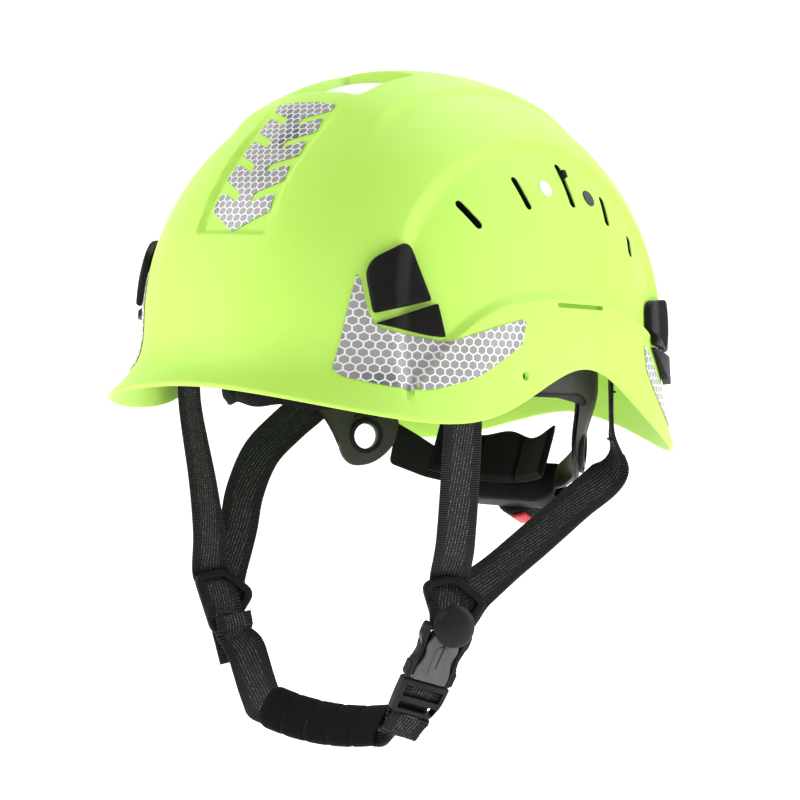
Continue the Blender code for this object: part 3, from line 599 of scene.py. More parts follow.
def plain_shell(turn, share):
    slope = np.clip(share / SKIRT_START, 0, 1) * pi / 2
    rho = np.sin(slope) ** DOME_FULLNESS
    dome_z = EQUATOR_Z + DOME_HEIGHT * np.clip(np.cos(slope), 0, 1) ** DOME_SHOULDER
    skirt_z = EQUATOR_Z + (rim_height(turn) - EQUATOR_Z) * (share - SKIRT_START) / (1 - SKIRT_START)
    z = np.where(share < SKIRT_START, dome_z, skirt_z)
    depth = np.clip((EQUATOR_Z - z) / 0.040, 0.0, 1.6)
    away = np.abs(np.degrees(turn))
    flare = 0.017 + 0.0287 * ease((away - 100) / 40)
    radius = plan_radius(turn) * rho * (1 + flare * depth ** 2)
    radius = radius + BRIM_REACH * ease(1 - away / 60.5) * depth ** 3
    return np.stack([radius * np.sin(turn), -radius * np.cos(turn), z], axis=-1)


def shell_normal(turn, share):
    step = 0.003
    low, high = np.clip(share - step, 0.003, 1), np.clip(share + step, 0, 1)
    down = plain_shell(turn, high) - plain_shell(turn, low)
    around = plain_shell(turn + step, share) - plain_shell(turn - step, share)
    normal = np.cross(down, around)
    normal /= np.linalg.norm(normal, axis=-1, keepdims=True) + 1e-12
    outward = plain_shell(turn, share) - np.array([0, 0, 0.03])
    return normal * np.sign(np.sum(normal * outward, axis=-1, keepdims=True))


def flange_line(y):
    return 0.0535 - 2.3 * (y + 0.012) ** 2 - 9.0 * np.clip(-y - 0.05, 0, None) ** 2


def relief(point):
    """Moulded features: sunken side field, crown band, flange step, film recess, plate recess."""
    x, y, z = point[..., 0], point[..., 1], point[..., 2]
    stretch = np.where(y < 0, 0.110, 0.085)
    away = np.sqrt((y / stretch) ** 2 + (np.clip(z - 0.050, 0, None) / 0.080) ** 2)
    side = ease((np.abs(x) - 0.040) / 0.02)
    above = crease((z - flange_line(y)) / 0.0042)
    field = -0.0032 * crease((1 - away) / 0.060) * side * above
    lip = 0.00045 * np.exp(-((flange_line(y) - z + 0.0008) / 0.0012) ** 2) * side * (away < 0.97)
    crown = crease((0.044 - np.abs(x)) / 0.005) * ease((z - 0.112) / 0.02)
    crown *= ease((y + 0.100) / 0.022) * 0.0025
    floor = crease((0.0215 - np.abs(x)) / 0.0028) * crease((z - 0.0762) / 0.0028) * (y < 0)
    film = -0.0026 * floor * (1 - ease((z - 0.116) / 0.026))
    bowl = crease((0.022 - np.abs(x)) / 0.005) * crease((y + 0.074) / 0.006) * crease((-0.031 - y) / 0.006)
    plate = -0.0058 * bowl * (z > 0.1)
    return field + lip + crown + film + plate


def shell_grid(turn, share, lift=0.0):
    base = plain_shell(turn, share)
    return base + shell_normal(turn, share) * (relief(base) + lift)[..., None]


def share_at(turn, z):
    """The shell parameter at a height."""
    low = rim_height(turn)
    skirt = SKIRT_START + (1 - SKIRT_START) * (EQUATOR_Z - z) / (EQUATOR_Z - low)
    rise = np.clip((z - EQUATOR_Z) / DOME_HEIGHT, 0, 1) ** (1 / DOME_SHOULDER)
    return np.where(z < EQUATOR_Z, skirt, SKIRT_START * 2 / pi * np.arccos(rise))


def on_side(angle, z, lift=0.0):
    """Shell point at an azimuth in degrees and a height."""
    turn = np.radians(np.asarray(angle, dtype=float))
    z = np.asarray(z, dtype=float)
    return shell_grid(turn, share_at(turn, z), np.zeros_like(turn) + lift)


def on_crown(x, y, lift=0.0):
    turn = np.arctan2(x, -y)
    rho = np.clip(np.hypot(x, y) / plan_radius(turn), 0, 1)
    share = np.arcsin(rho ** (1 / DOME_FULLNESS)) * SKIRT_START * 2 / pi
    return shell_grid(turn, share, np.zeros_like(turn) + lift)


def side_normal(angle, z):
    turn = np.radians(np.asarray(angle, dtype=float))
    return shell_normal(turn, share_at(turn, np.asarray(z, dtype=float)))


def mirrored(points, side):
    return points * np.array([side, 1.0, 1.0])


def spot_frame(angle, z, side, lift=0.0):
    """A frame on the shell: z out of it, y as near up as it can be."""
    spot = Vector(mirrored(on_side(angle, z, lift), side))
    out = Vector(mirrored(side_normal(angle, z), side))
    up = (Vector((0, 0, 1)) - out * out.z).normalized()
    return Matrix.Translation(spot) @ Matrix((up.cross(out), up, out)).transposed().to_4x4()


def slot_frame(start, end, normal):
    start, end, normal = Vector(start), Vector(end), Vector(normal)
    along = (end - start).normalized()
    turned_to = Matrix((along, normal.cross(along).normalized(), normal)).transposed().to_4x4()
    return Matrix.Translation(start) @ turned_to


def slot_outline(reach, half, steps=10):
    arc = np.radians(np.linspace(90, 270, steps))
    outline = [(half * cos(a), half * sin(a)) for a in arc]
    return outline + [(reach - half * cos(a), -half * sin(a)) for a in arc]


def capsule(start, end, half, depth, normal):
    """Slot cutter with round ends."""
    reach = (Vector(end) - Vector(start)).length
    return prism_points(slot_outline(reach, half), -depth, depth, slot_frame(start, end, normal))


def prism_points(outline, low, high, matrix):
    count = len(outline)
    verts = to_frame(matrix, [(x, y, low) for x, y in outline] + [(x, y, high) for x, y in outline])
    faces = [tuple(range(count))[::-1], tuple(range(count, 2 * count))]
    faces += [(i, (i + 1) % count, count + (i + 1) % count, count + i) for i in range(count)]
    return verts, faces


def joined_helper(name, shapes):
    verts, faces = [], []
    for points, sides in shapes:
        shift = len(verts)
        verts += list(points)
        faces += [tuple(shift + k for k in face) for face in sides]
    return helper(name, verts, faces)


def shell():
    """Outer skin, rounded rim and inner skin in one closed mesh, with the vents cut through."""
    around, down, inside = 560, 250, 60
    turn = np.linspace(-pi, pi, around, endpoint=False)
    skins = []
    outer_share = np.linspace(0, 1, down + 1)[1:]
    for share in outer_share:
        skins.append(shell_grid(turn, np.full(around, share)))
    rim_out = shell_grid(turn, np.ones(around))
    rim_in = shell_grid(turn, np.ones(around), -SHELL_WALL)
    middle, half = (rim_out + rim_in) / 2, (rim_out - rim_in) / 2
    below = rim_out - shell_grid(turn, np.full(around, 0.99))
    below /= np.linalg.norm(below, axis=1, keepdims=True)
    for a in np.linspace(0, pi, 9)[1:-1]:
        skins.append(middle + half * cos(a) + below * (SHELL_WALL / 2) * sin(a))
    for share in np.linspace(1, 0, inside + 1)[:-1]:
        base = plain_shell(turn, np.full(around, share))
        soft = np.minimum(relief(base), 0.0)
        lift = shell_normal(turn, np.full(around, share)) * (soft - SHELL_WALL)[:, None]
        skins.append(base + lift)
    top = on_crown(np.array([0.0001]), np.array([-0.0001]))[0]
    verts = np.vstack([top[None], np.vstack(skins), (top - [0, 0, SHELL_WALL])[None]])
    faces = []
    levels = len(skins)
    for i in range(around):
        k = (i + 1) % around
        faces.append((0, 1 + i, 1 + k))
        for level in range(levels - 1):
            a, b = 1 + level * around, 1 + (level + 1) * around
            faces.append((a + i, b + i, b + k, a + k))
        last = 1 + (levels - 1) * around
        faces.append((last + i, last + around, last + k))
    made = mesh_piece("shell", verts, faces, "green", "root", ("outer_shell",), 32)
    shapes = []
    for _, side in SIDES:
        for top_end, low_end in VENTS.values():
            ends = [mirrored(on_side(*end), side) for end in (top_end, low_end)]
            middle_of = ((top_end[0] + low_end[0]) / 2, (top_end[1] + low_end[1]) / 2)
            shapes.append(capsule(*ends, VENT_WIDTH / 2, 0.009, mirrored(side_normal(*middle_of), side)))
        ends = [mirrored(on_side(angle, 0.0513), side) for angle in (78.6, 96.8)]
        shapes.append(capsule(*ends, 0.0011, 0.009, mirrored(side_normal(88.0, 0.0513), side)))
        hole = [(0.0021 * cos(a), 0.0021 * sin(a)) for a in np.linspace(0, 2 * pi, 24, endpoint=False)]
        shapes.append(prism_points(hole, -0.008, 0.008, spot_frame(67.2, 0.0176, side)))
    return boolean(made, joined_helper("vent_cutters", shapes))


# ================================================================ films and plate
def chevron_outline():
    """Five stacked arrow tiers, in metres up the shell from the lowest tip."""
    feet = (0.0107, 0.0278, 0.0438, 0.0598, 0.0745)
    half = [(0.0, 0.0, 0.0008)]
    barb = ((0.0170, 0, 0.0016), (0.0158, 0.0092, 0.0014), (0.0138, 0.0094, 0.0014),
            (0.0044, 0.0048, 0.0011), (0.0038, 0.0074, 0.0011), (0.0048, 0.0102, 0.0006))
    cap = ((0.0170, 0, 0.0016), (0.0168, 0.0050, 0.0016), (0.0060, 0.0070, 0.0010))
    for foot in feet:
        tier = cap if foot == feet[-1] else barb
        half += [(x, foot + rise, radius) for x, rise, radius in tier]
    return half + [(-x, y, r) for x, y, r in reversed(half[1:])]


def film_sheet(name, outline, place, nodes, step=0.0016, lift=0.00025, thickness=0.00025):
    """A thin film cut to an outline in flat film coordinates and laid on the shell."""
    flat = bmesh.new()
    corners = [flat.verts.new((x, y, 0)) for x, y in outline]
    flat.faces.new(corners).normal_update()
    bmesh.ops.triangulate(flat, faces=flat.faces, ngon_method="EAR_CLIP")
    low = np.min(outline, axis=0)
    high = np.max(outline, axis=0)
    for axis in (0, 1):
        normal = (1, 0, 0) if axis == 0 else (0, 1, 0)
        for cut_at in np.arange(low[axis] + step, high[axis], step):
            spot = (cut_at, 0, 0) if axis == 0 else (0, cut_at, 0)
            everything = list(flat.verts) + list(flat.edges) + list(flat.faces)
            bmesh.ops.bisect_plane(flat, geom=everything, plane_co=spot, plane_no=normal, dist=1e-6)
    bmesh.ops.remove_doubles(flat, verts=flat.verts, dist=1e-6)
    flat.verts.ensure_lookup_table()
    flat.verts.index_update()
    spots = np.array([v.co[:2] for v in flat.verts])
    faces = [tuple(v.index for v in f.verts) for f in flat.faces]
    edges = [tuple(v.index for v in e.verts) for e in flat.edges if len(e.link_faces) == 1]
    flat.free()
    count = len(spots)
    top = place(spots[:, 0], spots[:, 1], lift + thickness)
    under = place(spots[:, 0], spots[:, 1], lift)
    solid = [tuple(face) for face in faces] + [tuple(count + k for k in reversed(face)) for face in faces]
    solid += [(a, b, count + b, count + a) for a, b in edges]
    return mesh_piece(name, np.vstack([top, under]), solid, "film", "root", nodes, 30,
                      np.vstack([spots, spots]))


def front_film():
    """Chevrons on the floor of the front recess; film height follows the shell's surface length."""
    heights = np.linspace(0.074, 0.150, 400)
    line = on_side(np.zeros(400), heights)
    run = np.concatenate([[0], np.cumsum(np.linalg.norm(np.diff(line, axis=0), axis=1))])
    start = np.interp(0.0786, heights, run)

    def place(x, y, lift):
        z = np.interp(start + y, run, heights)
        flat_turn = np.arcsin(np.clip(x / 0.128, -1, 1))
        for _ in range(3):
            radius = np.hypot(*np.moveaxis(on_side(np.degrees(flat_turn), z)[:, :2], 1, 0))
            flat_turn = np.arcsin(np.clip(x / radius, -1, 1))
        return on_side(np.degrees(flat_turn), z, lift)

    outline = rounded(chevron_outline(), 0.0011, 4)
    return film_sheet("front_chevron_film", [tuple(p) for p in outline], place, ("front_reflector",))


def side_films():
    """Boomerang films under the front clips and slanted films at the rear."""
    front = [(24.0, 0.0165, 0.0015), (26.3, 0.0135, 0.001), (33.5, 0.0105, 0.004), (42.0, 0.0088, 0.006),
             (53.5, 0.0160, 0.005), (65.5, 0.0318, 0.0015), (66.6, 0.0425, 0.001), (65.8, 0.0436, 0.001),
             (57.0, 0.0390, 0.004), (45.8, 0.0312, 0.003), (38.0, 0.0335, 0.003), (31.4, 0.0365, 0.002),
             (29.6, 0.0440, 0.002), (28.0, 0.0575, 0.001), (27.2, 0.0602, 0.001)]
    rear = [(119.0, 0.0350, 0.001), (121.5, 0.0330, 0.001), (131.0, 0.0175, 0.002), (139.5, 0.0135, 0.001),
            (140.0, -0.0050, 0.001), (136.0, -0.0035, 0.002), (128.0, 0.0090, 0.003), (121.0, 0.0225, 0.002)]
    for word, side in SIDES:
        for name, corners, node in (("flank_film_", front, "side_reflector_"),
                                    ("rear_film_", rear, "rear_reflector_")):
            scale = 0.00190
            outline = rounded([(a * scale, z, r) for a, z, r in corners], 0.001, 5)

            def place(x, y, lift):
                return mirrored(on_side(x / scale, y, lift), side)

            film_sheet(name + word, [tuple(p) for p in outline], place, (node + word,), 0.0022)


def crown_plate():
    outline = resample(rounded(box_outline(-0.0135, -0.0645, 0.0135, -0.0405), 0.003), 60)

    def place(x, y, h):
        return on_crown(x, y, h)

    verts, faces, uvs = cushion(outline, fillet(0.0011, 0.0004, 4, 0.0001), place, 6)
    mesh_piece("crown_plate", verts, faces, "white", "root", ("top_plate",), 40, uvs)


# ================================================================ lamp clips and vents
def clip_place(corners, side):
    """Maps a unit square onto the shell between four (azimuth, height) corners."""
    quad = np.array(corners)

    def place(x, y, h):
        top = quad[0] + (quad[1] - quad[0]) * x[:, None]
        low = quad[2] + (quad[3] - quad[2]) * x[:, None]
        spot = top + (low - top) * y[:, None]
        return mirrored(on_side(spot[:, 0], spot[:, 1], h), side)

    return place


FRONT_CLIP = ((28.0, 0.0655), (37.6, 0.0745), (30.6, 0.0425), (42.2, 0.0500))
REAR_CLIP = ((123.0, 0.0580), (138.0, 0.0560), (123.2, 0.0360), (138.0, 0.0325))
FRONT_RAMP = ((31.0, 0.0382, 0.0006), (43.2, 0.0486, 0.0008), (45.2, 0.0334, 0.0012), (42.0, 0.0338, 0.003))
REAR_RAMP = ((123.5, 0.0345, 0.0008), (138.5, 0.0305, 0.001), (139.0, 0.0160, 0.0015),
             (134.0, 0.0190, 0.003))


def lamp_clips():
    """Sprung flaps with a rolled edge, over wedge ramps that rise away from the flap's hinge side."""
    flap = rounded([(0.02, 0.02, 0.34), (0.98, -0.10, 0.26), (1.0, 1.0, 0.05), (0.0, 1.0, 0.06)], 0.1, 12)
    scale = 0.0024
    for word, side in SIDES:
        for place_word, top, low in (("front", FRONT_CLIP, FRONT_RAMP), ("rear", REAR_CLIP, REAR_RAMP)):
            outline = resample(flap, 110)
            raw = clip_place(top, side)

            def flap_at(x, y, h):
                crown = 0.0008 * np.clip(1 - ((x - 0.5) / 0.55) ** 2, 0,
                                         1) * np.clip(1 - ((y - 0.45) / 0.7) ** 2, 0, 1)
                return raw(x, y, h + np.where(h > 0.003, crown, 0.0))

            layers = [(a / 0.027, h) for a, h in fillet(0.0036, 0.0016, 8, 0.0008)]
            verts, faces, uvs = cushion(outline, layers, flap_at, 10)
            mesh_piece(f"lamp_flap_{place_word}_{word}", verts, faces, "black", f"flap_{place_word}_{word}",
                       (f"clip_{place_word}_{word}_flap",), 50, uvs)

            def ramp_at(x, y, h):
                spread = np.clip((x / scale - low[0][0]) / (low[1][0] - low[0][0]), 0, 1)
                return mirrored(on_side(x / scale, y, np.where(h > 0.001, h * (0.45 + 0.55 * spread), h)),
                                side)

            corners = [(angle * scale, z, r) for angle, z, r in low]
            ramp_line = resample(rounded(corners, 0.001, 6), 110)
            verts, faces, uvs = cushion(ramp_line, fillet(0.0048, 0.0008, 5, 0.0006), ramp_at, 8)
            mesh_piece(f"lamp_ramp_{place_word}_{word}", verts, faces, "black", "root",
                       (f"clip_{place_word}_{word}_base",), 40, uvs)


def vent_markers():
    for word, side in SIDES:
        for tag, angle, z, look in (("open", 84.2, 0.1081, "white"), ("shut", 106.6, 0.1058, "panel")):
            profile = [(0, -0.0006), (0.0042, -0.0006), (0.0042, 0.0003), (0.0040, 0.0005), (0, 0.0005)]
            turned(f"vent_dot_{tag}_{word}", profile, spot_frame(angle, z, side), look, "root",
                   (f"vent_marker_{tag}_{word}",))


# ================================================================ webbing
def ribbon(name, stations, nodes, body="root", look="webbing", ribs=True, width=WEBBING_WIDTH,
           bumps=0.00011):
    """Woven strap along stations of (x, y, z, width direction); cross ribs are in its shape."""
    raw = np.array([list(s[0]) + list(s[1]) for s in stations], dtype=float)
    _, length = smooth_path(raw, 10)
    per_rib = 5
    count = max(12, int(length / RIB_PITCH * per_rib))
    line, length = smooth_path(raw, count)
    spots, wide = line[:, :3], line[:, 3:]
    ahead = np.gradient(spots, axis=0)
    ahead /= np.linalg.norm(ahead, axis=1, keepdims=True)
    wide = wide - ahead * np.sum(wide * ahead, axis=1, keepdims=True)
    wide /= np.linalg.norm(wide, axis=1, keepdims=True)
    face = np.cross(ahead, wide)
    run = np.linspace(0, length, count)
    half, thick = width / 2, WEBBING_THICKNESS / 2
    section = []
    for t in np.linspace(-1, 1, 21):
        section.append((t * (half - 0.0004), thick))
    for a in np.linspace(pi / 2, -pi / 2, 5)[1:-1]:
        section.append((half - 0.0004 + 0.0006 * cos(a), thick * sin(a)))
    for t in np.linspace(1, -1, 21):
        section.append((t * (half - 0.0004), -thick))
    for a in np.linspace(-pi / 2, -3 * pi / 2, 5)[1:-1]:
        section.append((-half + 0.0004 + 0.0006 * cos(a), thick * sin(a)))
    section = np.array(section)
    sides = len(section)
    wave = np.sin(run * 2 * pi / RIB_PITCH) if ribs else np.zeros(count)
    edge = ease((np.abs(section[:, 0]) / half - 0.50) / 0.12)
    verts, uvs = [], []
    for i in range(count):
        swell = 1 + (bumps / thick) * wave[i] * edge
        stretch = 1 + 0.010 * wave[i] * (np.abs(section[:, 0]) > half * 0.97)
        offset = wide[i] * (section[:, 0] * stretch)[:, None] + face[i] * (section[:, 1] * swell)[:, None]
        verts.append(spots[i] + offset)
        uvs.append(np.column_stack([section[:, 0], np.full(sides, run[i])]))
    verts, uvs = np.vstack(verts), np.vstack(uvs)
    faces = []
    for i in range(count - 1):
        for k in range(sides):
            a, b = i * sides + k, i * sides + (k + 1) % sides
            faces.append((a, b, b + sides, a + sides))
    faces += [tuple(range(sides)), tuple(range((count - 1) * sides, count * sides))[::-1]]
    return mesh_piece(name, verts, faces, look, body, nodes, 60, uvs)


LEFT_DIVIDER = frame_axes((0.0705, -0.0490, -0.0920), (0.56, 0.83, 0.0), (0, 0, -1))
RIGHT_DIVIDER = frame_axes((-0.0710, -0.0480, -0.0985), (0.41, 0.91, 0.0), (0.1, 0, -1))
BUCKLE = frame_axes((0.0720, -0.0578, -0.1075), (0.45, 0.87, -0.24), (-0.40, -0.04, -0.915))


def at(matrix, x, y, z):
    return tuple(matrix @ Vector((x, y, z)))


def along(matrix, x, y, z=0.0):
    return tuple(matrix.to_3x3() @ Vector((x, y, z)))


def side_straps():
    L, R = LEFT_DIVIDER, RIGHT_DIVIDER
    face_on = (0.79, -0.08, -0.60)
    ribbon("webbing_front_left", [
        ((0.0845, -0.0700, 0.0200), (0.35, 0.93, 0)), ((0.0850, -0.0670, -0.0020), (0.42, 0.90, 0)),
        ((0.0810, -0.0620, -0.0350), (0.50, 0.86, 0)), ((0.0768, -0.0578, -0.0620), (0.54, 0.84, 0)),
        (at(L, -0.0010, -0.0145, 0.0036), along(L, 1, 0)),
        (at(L, -0.0020, -0.0070, 0.0012), along(L, 1, 0.1)),
        (at(L, -0.0030, 0.0050, -0.0036), along(L, 1, 0.2)),
        (at(L, -0.0032, 0.0100, -0.0048), along(L, 1, 0.2))],
        ("strap_front_left",))
    ribbon("webbing_rear_left", [
        ((0.0862, 0.0500, 0.0200), (0.61, -0.79, 0)), ((0.0868, 0.0520, -0.0060), (0.61, -0.79, 0)),
        ((0.0872, 0.0565, -0.0185), (0.74, -0.52, -0.25)), ((0.0856, 0.0500, -0.0300), (0.72, 0.00, -0.62)),
        ((0.0820, 0.0290, -0.0435), face_on), ((0.0785, 0.0020, -0.0605), face_on),
        ((0.0760, -0.0200, -0.0735), face_on), (at(L, 0.0120, -0.0080, 0.0048), (0.62, 0.38, -0.66)),
        (at(L, 0.0060, -0.0005, 0.0022), (0.53, 0.60, -0.60)),
        (at(L, 0.0000, 0.0070, -0.0010), (0.52, 0.65, -0.55))],
        ("strap_rear_left",))
    for tag, z in (("upper", 0.0120), ("lower", -0.0110)):
        tab = Matrix.Translation((0.0866, 0.0515, z)) @ frame_axes((0, 0, 0), (0.61, -0.79, 0),
                                                                   (0, 0, 1)).to_3x3().to_4x4()
        bar = resample(rounded(box_outline(-0.0086, -0.0006, 0.0086, 0.0006), 0.0005, 3), 40)
        flat_solid("rear_tack_" + tag, bar, -0.0012, 0.0012, 0.0003, tab, "webbing")
    ribbon("webbing_front_right", [
        ((-0.0850, -0.0645, 0.0200), (-0.15, 1, 0)), ((-0.0860, -0.0620, -0.0030), (-0.15, 1, 0)),
        ((-0.0810, -0.0560, -0.0400), (0.02, 1, 0)), ((-0.0770, -0.0540, -0.0660), (0.2, 0.97, 0)),
        (at(R, -0.0055, -0.0140, 0.0036), along(R, 1, 0)),
        (at(R, -0.0035, -0.0070, 0.0010), along(R, 1, 0.05)),
        (at(R, -0.0005, 0.0020, -0.0008), along(R, 1, 0.1)),
        (at(R, 0.0004, 0.0090, -0.0012), along(R, 1, 0.1))],
        ("strap_front_right",))
    ribbon("webbing_rear_right", [
        ((-0.0868, 0.0470, 0.0090), (0.60, 0.50, -0.62)), ((-0.0865, 0.0320, -0.0020), (0.60, 0.50, -0.62)),
        ((-0.0862, 0.0130, -0.0130), (0.62, 0.52, -0.58)),
        ((-0.0838, -0.0090, -0.0270), (0.70, 0.55, -0.45)),
        ((-0.0805, -0.0240, -0.0460), (0.75, 0.60, -0.25)),
        ((-0.0782, -0.0305, -0.0640), (0.60, 0.78, -0.10)),
        (at(R, 0.0055, -0.0135, 0.0062), along(R, 1, 0.1)),
        (at(R, 0.0035, -0.0050, 0.0034), along(R, 1, 0.15)),
        (at(R, 0.0015, 0.0030, 0.0012), along(R, 1, 0.15)),
        (at(R, 0.0010, 0.0095, 0.0006), along(R, 1, 0.15))],
        ("strap_rear_right",))


def dividers():
    corners = [(-0.0165, -0.0120), (0.0, -0.0165), (0.0175, -0.0040), (0.0035, 0.0170), (-0.0060, 0.0170)]
    for word, matrix in (("left", LEFT_DIVIDER), ("right", RIGHT_DIVIDER)):
        outer = resample(rounded(corners, 0.0060, 8), 120)
        inner = resample(outer + inwards(outer) * 0.0040, 120)
        hoop_solid("divider_ring_" + word, outer, inner, -0.0017, 0.0017, 0.0010, matrix, "black", "root",
                   ("divider_" + word,))
    cap = LEFT_DIVIDER @ Matrix.Translation((-0.0030, 0.0075, 0.0))
    profile = [(0, -0.0019), (0.0034, -0.0019), (0.0034, -0.0100), (0.0090, -0.0106), (0.0098, -0.0112),
               (0.0100, -0.0120), (0.0095, -0.0128), (0.0075, -0.0137), (0.0045, -0.0143), (0, -0.0145)]
    turned("divider_button", profile, cap, "gloss", "root", ("divider_cap",), 64)


def buckle():
    """Side-release buckle: ribbed socket, spring prongs with grips, and a laddered plug."""
    half = [(0.0060, -0.0040, 0.0015), (0.0084, 0.0020, 0.003), (0.0066, 0.0066, 0.003),
            (0.0076, 0.0105, 0.003),
            (0.0088, 0.0140, 0.002), (0.0088, 0.0196, 0.0012)]
    outline = resample(rounded(half + [(-x, y, r) for x, y, r in reversed(half)], 0.001, 6), 130)
    # painted reflection: the socket face in the grey reflection look, its back and walls in the black it
    # really is
    flat_solid("buckle_socket_face", outline, -0.0034, -0.0018, 0.0006, BUCKLE, "reflection_grey", "root",
               ("buckle_socket",))
    flat_solid("buckle_socket_back", outline, 0.0018, 0.0034, 0.0006, BUCKLE, "gloss", "root")
    for word, side in SIDES:
        wall = [(0.0046, -0.0030), (0.0062, -0.0030), (0.0060, 0.0066), (0.0080, 0.0140), (0.0080, 0.0194),
                (0.0046, 0.0194)]
        wall = resample(rounded([(x * side, y) for x, y in wall], 0.0008, 4), 80)
        flat_solid("buckle_socket_wall_" + word, wall, -0.0019, 0.0019, 0.0002, BUCKLE, "gloss", "root")
    groove = resample(rounded(box_outline(-0.0030, 0.0010, 0.0030, 0.0165), 0.0029, 10), 100)
    # painted reflection: the latch rib in the grey reflection look
    flat_solid("buckle_latch_rib", groove, -0.0039, -0.0030, 0.0004, BUCKLE, "reflection_grey", "root")
    slot = resample(rounded(box_outline(-0.0003, -0.0030, 0.0003, 0.0120), 0.0002, 3), 40)
    flat_solid("buckle_latch_slit", slot, -0.00396, -0.0032, 0.00005, BUCKLE, "black", "root")
    for word, side in SIDES:
        prong = [(0.0094, -0.0080, 0.0018), (0.0122, -0.0076, 0.0018), (0.0124, -0.0010, 0.0018),
                 (0.0106, 0.0022, 0.001),
                 (0.0104, 0.0090, 0.001), (0.0116, 0.0105, 0.001), (0.0118, 0.0198, 0.0008),
                 (0.0092, 0.0198, 0.0006),
                 (0.0090, 0.0110, 0.002), (0.0086, 0.0050, 0.003), (0.0090, 0.0000, 0.002)]
        shape = resample(rounded([(x * side, y, r) for x, y, r in prong], 0.001, 5), 90)
        flat_solid("buckle_grip_" + word, shape, -0.0030, 0.0030, 0.0007, BUCKLE, "gloss", "prong_" + word,
                   ("buckle_prong_" + word,))
        grip = resample(rounded([(0.0116 * side, 0.0118), (0.0123 * side, 0.0124), (0.0123 * side, 0.0186),
                                 (0.0116 * side, 0.0192)], 0.0003, 3), 40)
        flat_solid("buckle_grip_rib_" + word, grip, -0.0030, 0.0030, 0.0003, BUCKLE, "gloss",
                   "prong_" + word)
    plug = [(-0.0122, 0.0203, 0.0012), (0.0122, 0.0203, 0.0012), (0.0118, 0.0300, 0.004),
            (0.0088, 0.0372, 0.0012),
            (-0.0120, 0.0372, 0.0012), (-0.0124, 0.0290, 0.003)]
    body = flat_solid("buckle_plug_frame", resample(rounded(plug, 0.001, 6), 120), -0.0031, 0.0031, 0.0010,
                      BUCKLE,
                      "gloss", "plug", ("buckle_plug",))
    for low, high in ((0.0232, 0.0288), (0.0316, 0.0352)):
        window = rounded([(-0.0098, low), (0.0098, low), (0.0094, high), (-0.0098, high)], 0.0008, 4)
        boolean(body, helper("window", *prism_points(window, -0.01, 0.01, BUCKLE)))
    body.data.set_sharp_from_angle(angle=radians(35))
    tongue = resample(rounded(box_outline(-0.0042, 0.0090, 0.0042, 0.0215), 0.001, 5), 60)
    flat_solid("buckle_tongue", tongue, -0.0014, 0.0014, 0.0005, BUCKLE, "gloss", "plug")


def chin_webbing():
    B, R = BUCKLE, RIGHT_DIVIDER
    ribbon("webbing_plug_loop", [
        (at(B, 0.0, 0.0222, 0.0012), along(B, 1, 0)), (at(B, 0.0, 0.0240, -0.0004), along(B, 1, 0)),
        (at(B, 0.0, 0.0265, -0.0008), along(B, 1, 0)), (at(B, 0.0, 0.0292, 0.0014), along(B, 1, 0)),
        (at(B, 0.0, 0.0316, 0.0046), along(B, 1, 0)), (at(B, 0.0, 0.0360, 0.0056), along(B, 1, 0)),
        (at(B, 0.0, 0.0415, 0.0044), along(B, 1, 0.05)),
        ((0.0505, -0.0566, -0.1496), (0.30, 0.92, 0.15)), ((0.0430, -0.0572, -0.1512), (0.15, 0.70, 0.70)),
        ((0.0340, -0.0575, -0.1508), (0.05, 0.62, 0.78))],
        ("chin_strap_left",), "plug")
    fold = [(at(B, 0.0005, 0.0385, 0.0020), along(B, 1, 0)), (at(B, 0.0, 0.0388, -0.0002), along(B, 1, 0)),
            (at(B, -0.0004, 0.0402, -0.0010), along(B, 1, 0)),
            (at(B, -0.0012, 0.0440, -0.0008), along(B, 1, 0)),
            (at(B, -0.0020, 0.0482, -0.0004), along(B, 1, 0)),
            (at(B, -0.0022, 0.0494, 0.0010), along(B, 1, 0)),
            (at(B, -0.0022, 0.0490, 0.0026), along(B, 1, 0))]
    ribbon("webbing_tail_fold", fold, (), "plug")
    # painted highlight: pale strips along the fold edges of the webbing tail, where the light catches it
    for tag, spot in (("upper", fold[1]), ("lower", fold[5])):
        seam = Matrix.Translation(spot[0]) @ B.to_3x3().to_4x4()
        strip = resample(rounded(box_outline(-0.0094, -0.0005, 0.0094, 0.0005), 0.0004, 3), 48)
        flat_solid("tail_fold_highlight_" + tag, strip, -0.0012, 0.0004, 0.0003, seam, "reflection_grey", "plug")
    strap = ribbon("webbing_chin_right", [
        ((-0.0260, -0.0570, -0.1478), (0.05, 0.62, 0.78)), ((-0.0350, -0.0566, -0.1458), (0.20, 0.60, 0.76)),
        ((-0.0405, -0.0530, -0.1422), (0.50, 0.58, 0.62)), ((-0.0480, -0.0480, -0.1365), (0.68, 0.55, 0.47)),
        ((-0.0550, -0.0440, -0.1290), (0.70, 0.60, 0.38)), ((-0.0602, -0.0425, -0.1215), (0.70, 0.64, 0.28)),
        (at(R, 0.0058, 0.0165, -0.0004), along(R, 1, -0.12)),
        (at(R, 0.0052, 0.0125, -0.0026), along(R, 1, -0.08)),
        (at(R, 0.0040, 0.0070, -0.0030), along(R, 1, 0))],
        ("chin_strap_right",), None)
    at(R, 0, 0.0120, 0)
    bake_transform(strap)
    ribbon("webbing_chin_loop", [
        (at(R, 0.0036, 0.0062, -0.0034), along(R, 1, 0.1)),
        (at(R, 0.0038, 0.0054, 0.0006), along(R, 1, 0.12)),
        (at(R, 0.0042, 0.0074, 0.0040), along(R, 1, 0.10)),
        (at(R, 0.0050, 0.0140, 0.0048), along(R, 1, 0.05)),
        (at(R, 0.0064, 0.0220, 0.0030), along(R, 1, -0.05)),
        (at(R, 0.0082, 0.0300, 0.0018), along(R, 1, -0.12))],
        (), "root", width=0.0178)


# ================================================================ padded fabric
PUFFS = []


